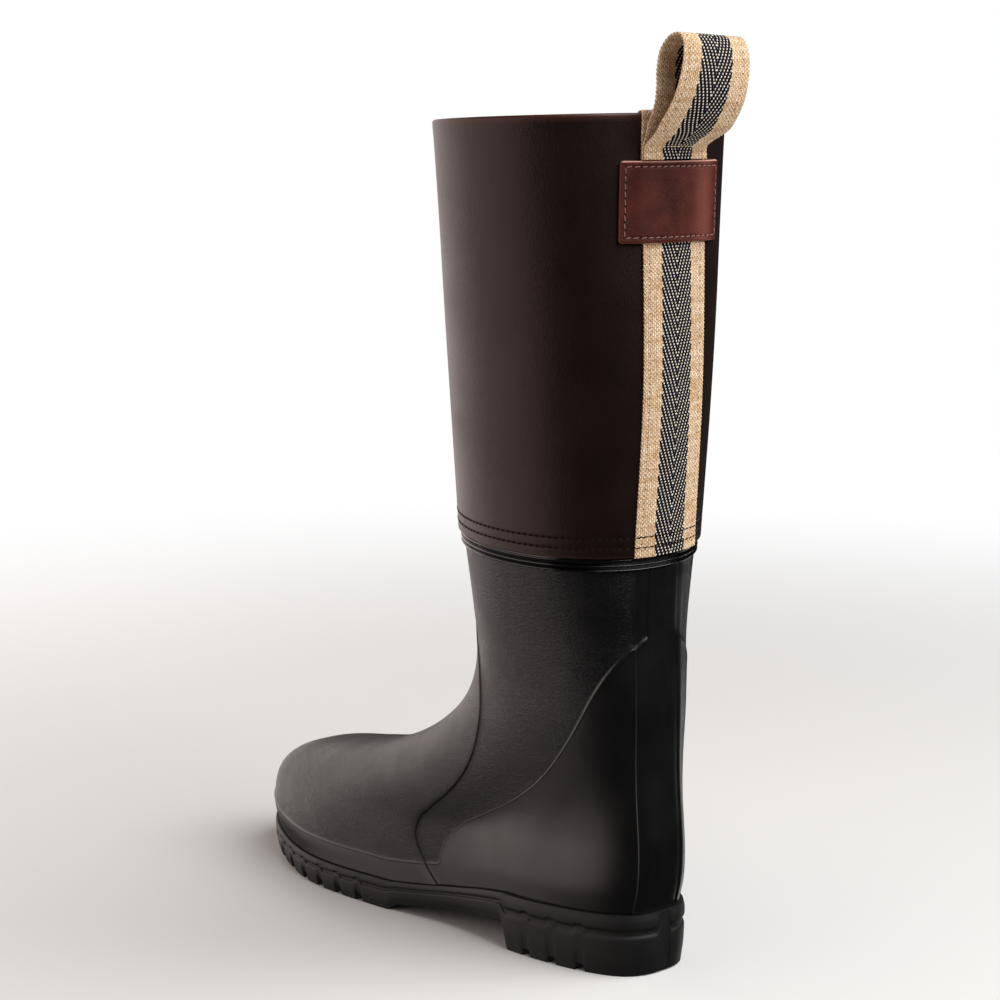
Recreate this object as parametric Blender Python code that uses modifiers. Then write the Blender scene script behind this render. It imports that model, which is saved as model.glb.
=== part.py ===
"""Left rubber boot with a leather shaft, webbing back strap, pull loop and leather patch.

Sizes are in millimetres until mesh_from_grid turns them into metres. The working axes have
the shaft's axis at x = 0, y = 0: the heel is towards +Y, the toe towards -Y, the outer side
of the foot towards +X and the floor at z = 0.
"""
import math
from collections import namedtuple

import bmesh
import bpy
import numpy as np

MM = 0.001
SMALL = 0.002

# Driving sizes.
AXIS_FROM_MIDDLE = 67.97
GAP = 0.3
RUBBER_WALL = 2.5
NECK_WALL = 2.0
LEATHER_WALL = 2.6
WEBBING_WIDTH = 38.0
WEBBING_THICK = 1.6
PATCH_WIDTH = 58.5
PATCH_HEIGHT = 35.5
PATCH_THICK = 1.8
PATCH_BELOW_RIM = 20.5
PATCH_SLOPE_START = 1.0
PATCH_SLOPE_END = 4.0
STITCH_BELOW_RIM = 14.0
STRAP_INSIDE = 28.0
INSOLE_THICK = 4.0
INSOLE_INSET = 4.0

# The leather shaft: its rim and hem are planes that lean a little.
RIM_HEIGHT = 390.0
RIM_LEAN_BACK = 0.032
HEM_HEIGHT = 200.0
HEM_LEAN_OUT = -0.045
HEM_LEAN_BACK = -0.045
RIM_ROUND_STEPS = 5
SHAFT_COLUMNS = 48
SHAFT_ROWS = 8

ShaftRow = namedtuple("ShaftRow", "height depth width centre")
SHAFT = [
    ShaftRow(180, 59.8, 51.3, 1.4),
    ShaftRow(222, 61.3, 54.6, 1.5),
    ShaftRow(264, 62.5, 58.1, 1.5),
    ShaftRow(306, 63.2, 61.7, 1.2),
    ShaftRow(348, 63.7, 65.0, 0.6),
    ShaftRow(390, 64.8, 68.0, 0.0),
]

# The rubber's neck goes up inside the leather. Below the hem it has three beads.
NECK_OUT = -(LEATHER_WALL + GAP)
COLLAR_OUT = -2.9
COLLAR_BELOW_HEM = 9.0
NECK_ABOVE_HEM = 20.0
BEAD_COUNT = 3
BEAD_PITCH = 2.3
BEAD_WIDTH = 1.5
BEAD_OUT = -1.4
BEAD_GROOVE_OUT = -2.3

# Rings of the rubber foot: a front and a back point, the half width at the ball, how far the
# ring has turned from a footprint into an oval, and the vamp's reach round from the front.
FootRow = namedtuple("FootRow", "front_y front_z back_y back_z half_width oval vamp")
FOOT = [
    FootRow(-222, 21.0, 59.0, 29.6, 50.0, 0.00, 190),
    FootRow(-226, 33.0, 61.5, 40.0, 51.0, 0.00, 187),
    FootRow(-222, 45.5, 62.7, 50.0, 50.0, 0.06, 176),
    FootRow(-206, 55.0, 63.0, 60.0, 48.0, 0.15, 161),
    FootRow(-177, 61.0, 62.6, 69.0, 46.0, 0.30, 141),
    FootRow(-145, 68.0, 62.0, 78.0, 44.0, 0.50, 120),
    FootRow(-112, 79.5, 61.3, 89.0, 42.3, 0.72, 98),
    FootRow(-83, 95.5, 60.7, 102.0, 41.2, 0.90, 76),
    FootRow(-62, 114.5, 60.4, 118.0, 40.8, 1.00, 56),
    FootRow(-53, 136.5, 59.8, 138.0, 41.2, 1.00, 38),
    FootRow(-54, 161.0, 58.6, 161.0, 44.2, 1.00, 22),
]
COLLAR_VAMP = 17.0

# The footprint's half width as a share of the ball's, from the toe (-1) to the heel (1).
PrintRow = namedtuple("PrintRow", "place outer inner")
FOOTPRINT = [
    PrintRow(-1.00, 1.04, 1.10),
    PrintRow(-0.75, 1.09, 1.12),
    PrintRow(-0.45, 1.08, 1.08),
    PrintRow(-0.10, 0.91, 0.82),
    PrintRow(0.25, 0.73, 0.60),
    PrintRow(0.60, 0.79, 0.76),
    PrintRow(1.00, 0.82, 0.82),
]
PRINT_BLUNTNESS = 0.7
TOE_SWING = -6.0

# Panels of the rubber stand proud of its skin as steps.
STAY_EDGE = 13.6
STAY_RIDGE = 7.5
STAY_STEP = 0.5
VAMP_STEP = 0.7
COUNTER_STEP = 0.9
STEP_RUN = 0.9
COUNTER_ROW = 9.9
FOXING_ROW = 0.95
COUNTER_STEP_ROWS = 0.06
COUNTER_FLAT = 0.045
COUNTER_REACH = 0.52
COUNTER_FALL = 1.6
STAY_SHARE = 0.087
VAMP_SHARE = 0.55
SIDE_COLUMNS = 10
VAMP_COLUMNS = 11
VAMP_CROWDING = 1.4
LOWER_ROWS = 6
UPPER_ROWS = 14
LINING_ROWS = 14

# The sole along the foot, heel to toe, with its upper and lower faces.
SoleRow = namedtuple("SoleRow", "y top bottom")
SOLE = [
    SoleRow(62, 29.3, 1.2),
    SoleRow(54, 29.3, 0.0),
    SoleRow(-8, 27.6, 0.0),
    SoleRow(-12, 27.2, 13.0),
    SoleRow(-50, 20.6, 9.0),
    SoleRow(-84, 15.8, 4.0),
    SoleRow(-90, 15.2, 0.0),
    SoleRow(-160, 14.4, 0.0),
    SoleRow(-195, 16.6, 2.6),
    SoleRow(-226, 21.4, 8.6),
]
LUG_DEPTH = 3.6
LUG_PITCH = 15.0
LUG_GROOVE = 5.0
LUG_WALL = 0.8
CHEVRON = 9.0
HEEL_LUGS = (-8.0, 4)
FOREFOOT_LUGS = (-212.0, 8)
SOLE_TIP = 0.035
TIP_REACH = 0.42
TIP_STATIONS = 5
ARCH_STATIONS = 5
INSOLE_STATIONS = 28

# The sole's side, from its top edge (0) to its lower edge (1).
SideRow = namedtuple("SideRow", "down out")
SOLE_SIDE = [
    SideRow(0.00, 2.6),
    SideRow(0.10, 3.3),
    SideRow(0.22, 3.3),
    SideRow(0.26, 2.3),
    SideRow(0.34, 2.3),
    SideRow(0.38, 3.2),
    SideRow(0.70, 2.8),
    SideRow(1.00, 1.6),
]

# The pull loop's path: how far it stands off the leather, and its height over the sewing line.
LoopRow = namedtuple("LoopRow", "out up")
LOOP = [
    LoopRow(3.0, -6.0),
    LoopRow(3.0, 0.0),
    LoopRow(4.2, 8.0),
    LoopRow(6.0, 16.0),
    LoopRow(7.2, 24.0),
    LoopRow(8.2, 32.0),
    LoopRow(10.2, 39.0),
    LoopRow(14.5, 44.0),
    LoopRow(20.0, 45.0),
    LoopRow(24.4, 41.0),
    LoopRow(26.2, 34.0),
    LoopRow(25.0, 26.0),
    LoopRow(21.4, 17.5),
    LoopRow(14.6, 9.0),
    LoopRow(6.0, 2.0),
    LoopRow(4.95, -1.0),
    LoopRow(4.95, -6.0),
]
LOOP_LEAN = 0.0022
BAND_COLUMNS = 6

RUBBER_COLOUR = (0.012, 0.012, 0.012)
LEATHER_COLOUR = (0.030, 0.016, 0.012)
PATCH_COLOUR = (0.080, 0.025, 0.016)
WEBBING_COLOUR = (0.52, 0.36, 0.20)
INSOLE_COLOUR = (0.10, 0.09, 0.08)


def smooth(values, at):
    """Read a column of evenly spaced values at fractional places, on a smooth curve."""
    values = np.asarray(values, float)
    at = np.clip(np.asarray(at, float), 0, len(values) - 1)
    first = np.minimum(at.astype(int), len(values) - 2)
    part = at - first
    before = 2 * values[0] - values[1]
    after = 2 * values[-1] - values[-2]
    padded = np.concatenate([[before], values, [after]])
    p0, p1, p2, p3 = (padded[first + step] for step in range(4))
    curve = 2 * p0 - 5 * p1 + 4 * p2 - p3 + part * (3 * (p1 - p2) + p3 - p0)
    return p1 + 0.5 * part * (p2 - p0 + part * curve)


def column(rows, name):
    """One named column of a table."""
    return [getattr(row, name) for row in rows]


def points(x, y, z):
    """Stack three arrays of the same shape into points."""
    return np.stack(np.broadcast_arrays(x, y, z), axis=-1)


def shaft_point(turn, height, out):
    """A point of the leather's outer face, moved outwards by out; turn 0 is the back."""
    at = np.interp(height, column(SHAFT, "height"), range(len(SHAFT)))
    depth, width, centre = (smooth(column(SHAFT, name), at) for name in ("depth", "width", "centre"))
    return points((width + out) * np.sin(turn), centre + (depth + out) * np.cos(turn), height)


def rim_height(turn):
    """Height of the leather's rim at a turn."""
    return RIM_HEIGHT + RIM_LEAN_BACK * shaft_point(turn, RIM_HEIGHT, 0.0)[..., 1]


def hem_height(turn):
    """Height of the leather's lower edge at a turn."""
    place = shaft_point(turn, HEM_HEIGHT, 0.0)
    return HEM_HEIGHT + HEM_LEAN_OUT * place[..., 0] + HEM_LEAN_BACK * place[..., 1]


def collar_row():
    """The topmost ring of the foot, where it meets the beads below the hem."""
    front, back, side = (
        shaft_point(turn, hem_height(turn) - COLLAR_BELOW_HEM, COLLAR_OUT)
        for turn in (math.pi, 0.0, math.pi / 2)
    )
    return FootRow(front[1], front[2], back[1], back[2], side[0], 1.0, COLLAR_VAMP)


FOOT_RINGS = FOOT + [collar_row()]
TOP_ROW = len(FOOT_RINGS) - 1


def sole_top(y):
    """Height of the sole's upper face, on a smooth curve along the foot."""
    rows = SOLE[::-1]
    return smooth(column(rows, "top"), np.interp(y, column(rows, "y"), range(len(rows))))


def sole_bottom(y):
    """Height of the sole's lower face before the grooves are cut."""
    rows = SOLE[::-1]
    return np.interp(y, column(rows, "y"), column(rows, "bottom"))


def foot_point(turn, row):
    """A point of the rubber's skin: turn goes round from the back, row climbs the rings."""
    front_y, front_z, back_y, back_z, half_width, oval = (
        smooth(column(FOOT_RINGS, name), row) for name in FootRow._fields[:6]
    )
    along = np.cos(turn)
    across = np.sin(turn)
    place = column(FOOTPRINT, "place")
    at = np.interp(along, place, range(len(place)))
    outer = smooth(column(FOOTPRINT, "outer"), at)
    inner = smooth(column(FOOTPRINT, "inner"), at)
    footprint = np.where(across >= 0, outer, inner) * np.abs(across) ** PRINT_BLUNTNESS
    shape = (1 - oval) * footprint + oval * np.abs(across)
    swing = TOE_SWING * ((1 - along) / 2) ** 2 * (1 - oval)
    x = swing + half_width * np.sign(across) * shape
    y = (front_y + back_y) / 2 + along * (back_y - front_y) / 2
    z = (front_z + back_z) / 2 + along * (back_z - front_z) / 2
    feather = FOOT_RINGS[0]
    first_y = (feather.front_y + feather.back_y) / 2 + along * (feather.back_y - feather.front_y) / 2
    first_z = (feather.front_z + feather.back_z) / 2 + along * (feather.back_z - feather.front_z) / 2
    sag = sole_top(first_y) + GAP - first_z
    return points(x, y, z + sag * (1 - oval) ** 2)


def skin_direction(turn, row):
    """Unit direction out of the rubber's skin, from small steps round it and up it."""
    row = np.clip(row, 2 * SMALL, TOP_ROW - 2 * SMALL)
    up = foot_point(turn, row + SMALL) - foot_point(turn, row - SMALL)
    around = foot_point(turn + SMALL, row) - foot_point(turn - SMALL, row)
    normal = np.cross(up, around)
    return normal / np.linalg.norm(normal, axis=-1, keepdims=True)


# A column of the rubber's mesh: the side of the foot, its panel and its place in the panel.
Column = namedtuple("Column", "side panel share")


def rubber_columns():
    """Columns once round the foot: outer side to the front, inner side back again."""
    stay = [0.0, STAY_RIDGE / 2, STAY_RIDGE, STAY_RIDGE + STEP_RUN, STAY_EDGE]
    half = [("stay", place) for place in stay]
    half += [("side", step / SIDE_COLUMNS) for step in range(SIDE_COLUMNS + 1)]
    half += [("vamp", 1 - (1 - step / VAMP_COLUMNS) ** VAMP_CROWDING) for step in range(VAMP_COLUMNS + 1)]
    there = [Column(1, panel, share) for panel, share in half]
    back = [Column(-1, panel, share) for panel, share in half[-2:0:-1]]
    return there + back


def column_turn(post, row):
    """The turn of a column on a ring, found by the length of skin from the back."""
    sweep = np.linspace(0.0, math.pi, 161)
    ring = foot_point(post.side * sweep, np.full_like(sweep, row))
    length = np.concatenate([[0.0], np.cumsum(np.linalg.norm(np.diff(ring, axis=0), axis=1))])
    vamp_edge = length[-1] - smooth(column(FOOT_RINGS, "vamp"), row)
    reach = {
        "stay": (0.0, 1.0),
        "side": (STAY_EDGE + STEP_RUN, vamp_edge - STEP_RUN),
        "vamp": (vamp_edge, length[-1]),
    }
    start, end = reach[post.panel]
    return post.side * np.interp(start + post.share * (end - start), length, sweep)


def overlay_edge(post):
    """The ring on which a column leaves the counter and the toe's foxing."""
    share = {
        "stay": STAY_SHARE * post.share / STAY_EDGE,
        "side": STAY_SHARE + post.share * (VAMP_SHARE - STAY_SHARE),
        "vamp": VAMP_SHARE + post.share * (1 - VAMP_SHARE),
    }[post.panel]
    run = np.clip((share - COUNTER_FLAT) / (COUNTER_REACH - COUNTER_FLAT), 0, 1)
    return FOXING_ROW + (COUNTER_ROW - FOXING_ROW) * (1 - run ** COUNTER_FALL)


def panel_step(post):
    """How far a column's panel stands proud of the skin."""
    if post.panel == "stay":
        return 2 * STAY_STEP if post.share <= STAY_RIDGE else STAY_STEP
    return VAMP_STEP if post.panel == "vamp" else 0.0


def bead_profile():
    """Heights over the hem, and offsets, of the beads and the neck above them."""
    profile = []
    for bead in range(BEAD_COUNT):
        middle = -COLLAR_BELOW_HEM + BEAD_PITCH * (bead + 0.75)
        profile.append((middle - BEAD_PITCH / 2, BEAD_GROOVE_OUT))
        profile.append((middle - BEAD_WIDTH / 2, BEAD_OUT))
        profile.append((middle + BEAD_WIDTH / 2, BEAD_OUT))
    profile.append((profile[-1][0] + BEAD_PITCH / 2, NECK_OUT))
    profile.append((NECK_ABOVE_HEM, NECK_OUT))
    return profile


def mesh_from_grid(name, grid, wrap_rows, wrap_columns, caps=False):
    """A mesh of quads over a grid of points in millimetres, closed where asked."""
    mesh = bpy.data.meshes.new(name)
    work = bmesh.new()
    rows = [[work.verts.new(point * MM) for point in row] for row in np.asarray(grid)]
    last_row = len(rows) if wrap_rows else len(rows) - 1
    last_column = len(rows[0]) if wrap_columns else len(rows[0]) - 1
    for i in range(last_row):
        low = rows[i]
        high = rows[(i + 1) % len(rows)]
        for j in range(last_column):
            k = (j + 1) % len(low)
            work.faces.new((low[j], low[k], high[k], high[j]))
    if caps:
        work.faces.new(rows[0])
        work.faces.new(rows[-1])
    if wrap_columns:
        bmesh.ops.recalc_face_normals(work, faces=work.faces)
    work.to_mesh(mesh)
    work.free()
    return mesh


def plain_material(name, colour, roughness):
    """A material with one colour and roughness."""
    material = bpy.data.materials.new(name)
    material.use_nodes = True
    shader = material.node_tree.nodes["Principled BSDF"]
    shader.inputs["Base Color"].default_value = (*colour, 1.0)
    shader.inputs["Roughness"].default_value = roughness
    shader.inputs["Metallic"].default_value = 0.0
    return material


def add_part(name, mesh, material, collection, stand):
    """Put a mesh in the boot's collection, on the empty that the boot stands on."""
    part = bpy.data.objects.new(name, mesh)
    part.parent = stand
    collection.objects.link(part)
    mesh.materials.append(material)
    mesh.shade_smooth()
    mesh.set_sharp_from_angle(angle=math.radians(40))
    return part


def thicken(part, thickness, offset):
    """Give an open sheet its thickness; offset 1 grows outwards, 0 both ways, -1 inwards."""
    solidify = part.modifiers.new("thickness", "SOLIDIFY")
    solidify.thickness = thickness * MM
    solidify.offset = offset
    solidify.use_even_offset = True


def rubber_foot_mesh():
    """The rubber upper: outer skin with its panels and beads, then the inside back down."""
    posts = rubber_columns()
    rings = []
    for step in range(LOWER_ROWS + UPPER_ROWS + 2):
        ring = []
        for post in posts:
            edge = overlay_edge(post)
            below = step <= LOWER_ROWS
            if below:
                row = edge * step / LOWER_ROWS
            else:
                start = edge + COUNTER_STEP_ROWS
                row = start + (TOP_ROW - start) * (step - LOWER_ROWS - 1) / UPPER_ROWS
            turn = column_turn(post, row)
            proud = panel_step(post) + (COUNTER_STEP if below else 0.0)
            place = foot_point(turn, row) + proud * skin_direction(turn, row)
            if step == 0:
                place[2] = foot_point(turn, row)[2]
            ring.append(place)
        rings.append(np.array(ring))
    turns = np.array([column_turn(post, TOP_ROW) for post in posts])
    for height, out in bead_profile():
        rings.append(shaft_point(turns, hem_height(turns) + height, out))
    for height in (NECK_ABOVE_HEM, -COLLAR_BELOW_HEM / 2):
        rings.append(shaft_point(turns, hem_height(turns) + height, NECK_OUT - NECK_WALL))
    for step in range(LINING_ROWS + 1):
        row = TOP_ROW * (1 - step / LINING_ROWS)
        turns = np.array([column_turn(post, row) for post in posts])
        skin = foot_point(turns, np.full_like(turns, row))
        inside = skin - RUBBER_WALL * skin_direction(turns, np.full_like(turns, row))
        if step == LINING_ROWS:
            inside[:, 2] = skin[:, 2]
        rings.append(inside)
    return mesh_from_grid("rubber_foot", rings, wrap_rows=True, wrap_columns=True)


def leather_shaft_mesh():
    """The leather tube: outer face up, a rounded rim, and the inner face down to the hem."""
    turns = np.linspace(0.0, 2 * math.pi, SHAFT_COLUMNS, endpoint=False)
    half = LEATHER_WALL / 2
    hem = hem_height(turns)
    shoulder = rim_height(turns) - half
    shares = np.linspace(0.0, 1.0, SHAFT_ROWS)
    rings = [shaft_point(turns, hem + share * (shoulder - hem), 0.0) for share in shares]
    for angle in np.linspace(0.0, math.pi, RIM_ROUND_STEPS + 2)[1:-1]:
        rings.append(shaft_point(turns, shoulder + half * math.sin(angle), half * (math.cos(angle) - 1)))
    rings += [shaft_point(turns, hem + share * (shoulder - hem), -LEATHER_WALL) for share in shares[::-1]]
    return mesh_from_grid("leather_shaft", rings, wrap_rows=True, wrap_columns=True)


def back_turn(across, height):
    """The turn of a place on the back, given its distance from the middle line."""
    at = np.interp(height, column(SHAFT, "height"), range(len(SHAFT)))
    return across / smooth(column(SHAFT, "width"), at)


def back_strap_mesh():
    """The webbing up the back, over the rim and down inside: the face towards the leather."""
    across = np.linspace(WEBBING_WIDTH / 2, -WEBBING_WIDTH / 2, BAND_COLUMNS + 1)
    half = LEATHER_WALL / 2
    turn = back_turn(across, HEM_HEIGHT)
    hem = hem_height(turn)
    shoulder = rim_height(back_turn(across, RIM_HEIGHT)) - half
    rows = []
    for share in np.linspace(0.0, 1.0, SHAFT_ROWS):
        height = hem + share * (shoulder - hem)
        rows.append(shaft_point(back_turn(across, height), height, GAP))
    turn = back_turn(across, RIM_HEIGHT)
    for angle in np.linspace(0.0, math.pi, RIM_ROUND_STEPS + 2)[1:]:
        out = -half + (half + GAP) * math.cos(angle)
        rows.append(shaft_point(turn, shoulder + (half + GAP) * math.sin(angle), out))
    for down in (STRAP_INSIDE / 2, STRAP_INSIDE):
        height = shoulder - down
        rows.append(shaft_point(back_turn(across, height), height, -LEATHER_WALL - GAP))
    return mesh_from_grid("back_strap", rows, wrap_rows=False, wrap_columns=False)


def pull_loop_mesh():
    """The middle of the loop's webbing: up from the sewing line, over, and down outside."""
    across = np.linspace(-WEBBING_WIDTH / 2, WEBBING_WIDTH / 2, BAND_COLUMNS + 1)
    sewn = rim_height(0.0) - STITCH_BELOW_RIM
    base = shaft_point(back_turn(across, sewn), sewn, 0.0)
    rows = []
    for place in np.arange(0, len(LOOP) - 0.75, 0.5):
        out = smooth(column(LOOP, "out"), place)
        up = smooth(column(LOOP, "up"), place)
        lean = LOOP_LEAN * max(up, 0.0) * across
        rows.append(base + points(0.0, out, up + lean))
    return mesh_from_grid("pull_loop", rows, wrap_rows=False, wrap_columns=False)


def patch_mesh():
    """The patch's face towards the leather: over the strap, with its ends down on the shaft."""
    over = WEBBING_THICK + 2 * GAP
    half = PATCH_WIDTH / 2
    edge = WEBBING_WIDTH / 2
    slope = [edge + PATCH_SLOPE_START, edge + PATCH_SLOPE_END]
    right = np.array([edge / 2, *slope, half])
    across = np.concatenate([-right[::-1], [0.0], right])
    lift = np.interp(np.abs(across), slope, [over, GAP])
    top = rim_height(0.0) - PATCH_BELOW_RIM
    rows = []
    for down in np.linspace(0.0, PATCH_HEIGHT, 4):
        turn = back_turn(across, top - down)
        rows.append(shaft_point(turn, np.full_like(across, top - down), lift))
    return mesh_from_grid("patch", rows, wrap_rows=False, wrap_columns=False)


def edge_point(turn, out):
    """A plan point of the footprint's edge, moved outwards by out, at the sole's top."""
    around = foot_point(turn + SMALL, 0.0) - foot_point(turn - SMALL, 0.0)
    normal = np.array([-around[1], around[0], 0.0])
    place = foot_point(turn, 0.0) + out * normal / np.linalg.norm(normal)
    place[2] -= GAP
    return place


def lug_stations():
    """Stations along the sole with a flag where a groove is cut."""
    stations = []
    for start, count in (HEEL_LUGS, FOREFOOT_LUGS):
        for lug in range(count - 1):
            groove = start + LUG_PITCH * (lug + 1) - LUG_GROOVE
            stations.append((groove, 0.0))
            stations.append((groove + LUG_WALL, 1.0))
            stations.append((groove + LUG_GROOVE - LUG_WALL, 1.0))
            stations.append((groove + LUG_GROOVE, 0.0))
    return stations


def sole_stations():
    """All stations, heel to toe, as a turn and a groove flag."""
    feather = FOOT_RINGS[0]
    middle = (feather.front_y + feather.back_y) / 2
    half = (feather.back_y - feather.front_y) / 2
    stations = lug_stations()
    stations += [(row.y, 0.0) for row in SOLE[1:-1]]
    breast = SOLE[3].y
    tread = SOLE[5].y
    stations += [(y, 0.0) for y in np.linspace(breast, tread, ARCH_STATIONS + 2)[1:-1] + 1.0]
    grooved = [y for y, flag in stations]
    turns = [(math.acos((y - middle) / half), flag) for y, flag in stations]
    for step in range(TIP_STATIONS):
        tip = SOLE_TIP + TIP_REACH * (step / TIP_STATIONS) ** 1.5
        for turn in (tip, math.pi - tip):
            y = middle + half * math.cos(turn)
            if min(abs(y - other) for other in grooved) > 1.0:
                turns.append((turn, 0.0))
    return sorted(turns)


def outsole_mesh():
    """The sole as sections from heel to toe, each a loop round top, sides and tread."""
    rings = []
    for turn, groove in sole_stations():
        sides = []
        for side in (1, -1):
            rows = []
            for row in SOLE_SIDE:
                place = edge_point(side * turn, row.out)
                low = sole_bottom(place[1]) + groove * LUG_DEPTH
                place[2] += row.down * (low - place[2])
                rows.append(place)
            sides.append(rows)
        outer, inner = sides
        taper = math.sin(turn) ** 2
        tread = []
        for share in (0.25, 0.5, 0.75):
            place = outer[-1] + share * (inner[-1] - outer[-1])
            place[1] -= CHEVRON * taper * (1 - abs(2 * share - 1))
            tread.append(place)
        ring = outer + tread + inner[::-1]
        rings.append(np.array(ring))
    return mesh_from_grid("outsole", rings, wrap_rows=False, wrap_columns=True, caps=True)


def insole_mesh():
    """The insole's lower face, lying on the sole inside the rubber."""
    rows = []
    for turn in np.linspace(2 * SOLE_TIP, math.pi - 2 * SOLE_TIP, INSOLE_STATIONS):
        outer, inner = (edge_point(side * turn, -INSOLE_INSET) for side in (1, -1))
        row = [outer + share * (inner - outer) for share in (0.0, 0.33, 0.67, 1.0)]
        rows.append(np.array(row) + np.array([0.0, 0.0, GAP]))
    return mesh_from_grid("insole", rows, wrap_rows=False, wrap_columns=False)


def build_boot():
    """Make every piece of the boot."""
    boot = bpy.data.collections.new("rubber_boot")
    bpy.context.scene.collection.children.link(boot)
    stand = bpy.data.objects.new("boot_stand", None)
    stand.location = (0.0, AXIS_FROM_MIDDLE * MM, 0.0)
    boot.objects.link(stand)
    rubber = plain_material("moulded_rubber", RUBBER_COLOUR, 0.45)
    leather = plain_material("shaft_leather", LEATHER_COLOUR, 0.45)
    webbing = plain_material("cotton_webbing", WEBBING_COLOUR, 0.85)
    patch_leather = plain_material("patch_leather", PATCH_COLOUR, 0.5)
    insole_cloth = plain_material("insole_cloth", INSOLE_COLOUR, 0.9)
    add_part("outsole", outsole_mesh(), rubber, boot, stand)
    add_part("rubber_foot", rubber_foot_mesh(), rubber, boot, stand)
    insole = add_part("insole", insole_mesh(), insole_cloth, boot, stand)
    thicken(insole, INSOLE_THICK, 1.0)
    add_part("leather_shaft", leather_shaft_mesh(), leather, boot, stand)
    strap = add_part("back_strap", back_strap_mesh(), webbing, boot, stand)
    thicken(strap, WEBBING_THICK, 1.0)
    loop = add_part("pull_loop", pull_loop_mesh(), webbing, boot, stand)
    thicken(loop, WEBBING_THICK, 0.0)
    patch = add_part("patch", patch_mesh(), patch_leather, boot, stand)
    thicken(patch, PATCH_THICK, 1.0)


for old in list(bpy.data.objects):
    bpy.data.objects.remove(old)
build_boot()
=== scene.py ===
import math
from collections import namedtuple

import bpy
import numpy as np
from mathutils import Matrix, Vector


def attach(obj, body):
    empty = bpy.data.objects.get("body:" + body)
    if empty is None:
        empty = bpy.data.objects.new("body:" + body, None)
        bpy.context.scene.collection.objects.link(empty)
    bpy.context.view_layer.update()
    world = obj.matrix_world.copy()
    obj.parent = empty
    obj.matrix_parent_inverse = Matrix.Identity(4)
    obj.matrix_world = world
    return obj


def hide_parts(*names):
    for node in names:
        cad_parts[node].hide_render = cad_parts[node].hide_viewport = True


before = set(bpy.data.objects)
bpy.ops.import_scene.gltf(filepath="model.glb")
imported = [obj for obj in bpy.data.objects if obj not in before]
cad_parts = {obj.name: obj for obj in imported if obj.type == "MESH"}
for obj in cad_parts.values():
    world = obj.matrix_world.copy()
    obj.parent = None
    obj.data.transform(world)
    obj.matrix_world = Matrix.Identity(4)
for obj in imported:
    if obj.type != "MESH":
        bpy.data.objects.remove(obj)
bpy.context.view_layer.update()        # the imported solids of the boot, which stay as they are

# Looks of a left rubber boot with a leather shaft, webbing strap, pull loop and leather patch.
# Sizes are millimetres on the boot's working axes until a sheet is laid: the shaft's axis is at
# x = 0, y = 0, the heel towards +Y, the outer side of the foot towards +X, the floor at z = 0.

MM = 0.001
# Points nearer than WELD metres are joined. SMALL is a step of turn or row, and FACE_STEP one in
# millimetres, from which directions are worked out. TINY keeps a division from being by nothing. A
# mark counts on a face where it is over MARKED.
WELD = 0.000002
SMALL = 0.002
FACE_STEP = 0.05
TINY = 1e-12
MARKED = 0.5
AXIS_FROM_MIDDLE = 67.97
TO_FRAME = np.array([0.0, AXIS_FROM_MIDDLE, 0.0])

# Walls, layers and sheets.
GAP = 0.3
RUBBER_WALL = 2.5
NECK_WALL = 2.0
LEATHER_WALL = 2.6
WEBBING_WIDTH = 38.0
WEBBING_THICK = 1.05
LAYER_GAP = 0.15
PATCH_WIDTH = 59.6
PATCH_SHIFT = 0.55
PATCH_HEIGHT = 35.5
PATCH_THICK = 1.8
PATCH_BELOW_RIM = 20.5
PATCH_SLOPE = 8.0
STITCH_BELOW_RIM = 14.0
STRAP_INSIDE = 28.0
INSOLE_THICK = 4.0
INSOLE_INSET = 4.0

# The camera: where it stands round the shaft, and what it looks at.
VIEW_TURN = 42.45
VIEW_DISTANCE = 1076.1
VIEW_HEIGHT = 391.9
VIEW_AIM = (-6.0, -62.0, 205.0)
VIEW_LENS = 84.0
SENSOR_WIDTH = 36.0

# The leather shaft.
RIM_HEIGHT = 390.0
RIM_LEAN_BACK = 0.032
HEM_HEIGHT = 200.0
HEM_LEAN_OUT = -0.045
HEM_LEAN_BACK = -0.045
SHAFT_GIRTH = 57.0
BACK_FLAT = 1.0
BACK_FLAT_HALF = 27.0
BACK_FLAT_START = 196.0
BACK_FLAT_RUN = 12.0
HEM_STITCH_ROWS = (4.6, 9.2)
HEM_STITCH_PITCH = 3.1
HEM_STITCH_SINK = 0.14
HEM_STITCH_HOLLOW = 0.8
HEM_SEAM_SHADE = 0.7
HEM_SEAM_LINE = 0.42
HEM_WEAR = 0.35
HEM_WEAR_RUN = 1.6
HEM_ZONE = 12.0
HEM_FIRST_ROW = 0.4
HEM_ROW = 0.3
CUT_EDGE_LIFT = 0.1
CUT_EDGE_ROUND = 0.35
RIM_LEVEL_RUN = 8.0
RIM_WEAR = 0.5
RIM_CREST_WEAR = 0.3
RIM_WEAR_START = 0.988
RIM_INSIDE_ANGLE = 2.6
RIM_TURN = 4.0
RIM_STEPS = 12
INSIDE_FOOT = 0.5
SHAFT_COLUMNS = 240
SHAFT_ROWS = 75
SHAFT_INSIDE_ROWS = 39
ShaftRow = namedtuple("ShaftRow", "height depth width centre")
SHAFT = [
    ShaftRow(180, 59.8, 51.3, 1.4),
    ShaftRow(222, 61.3, 54.6, 1.5),
    ShaftRow(264, 62.5, 58.1, 1.5),
    ShaftRow(306, 63.2, 61.7, 1.2),
    ShaftRow(348, 63.7, 65.0, 0.6),
    ShaftRow(390, 64.8, 68.0, 0.0),
]

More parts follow.
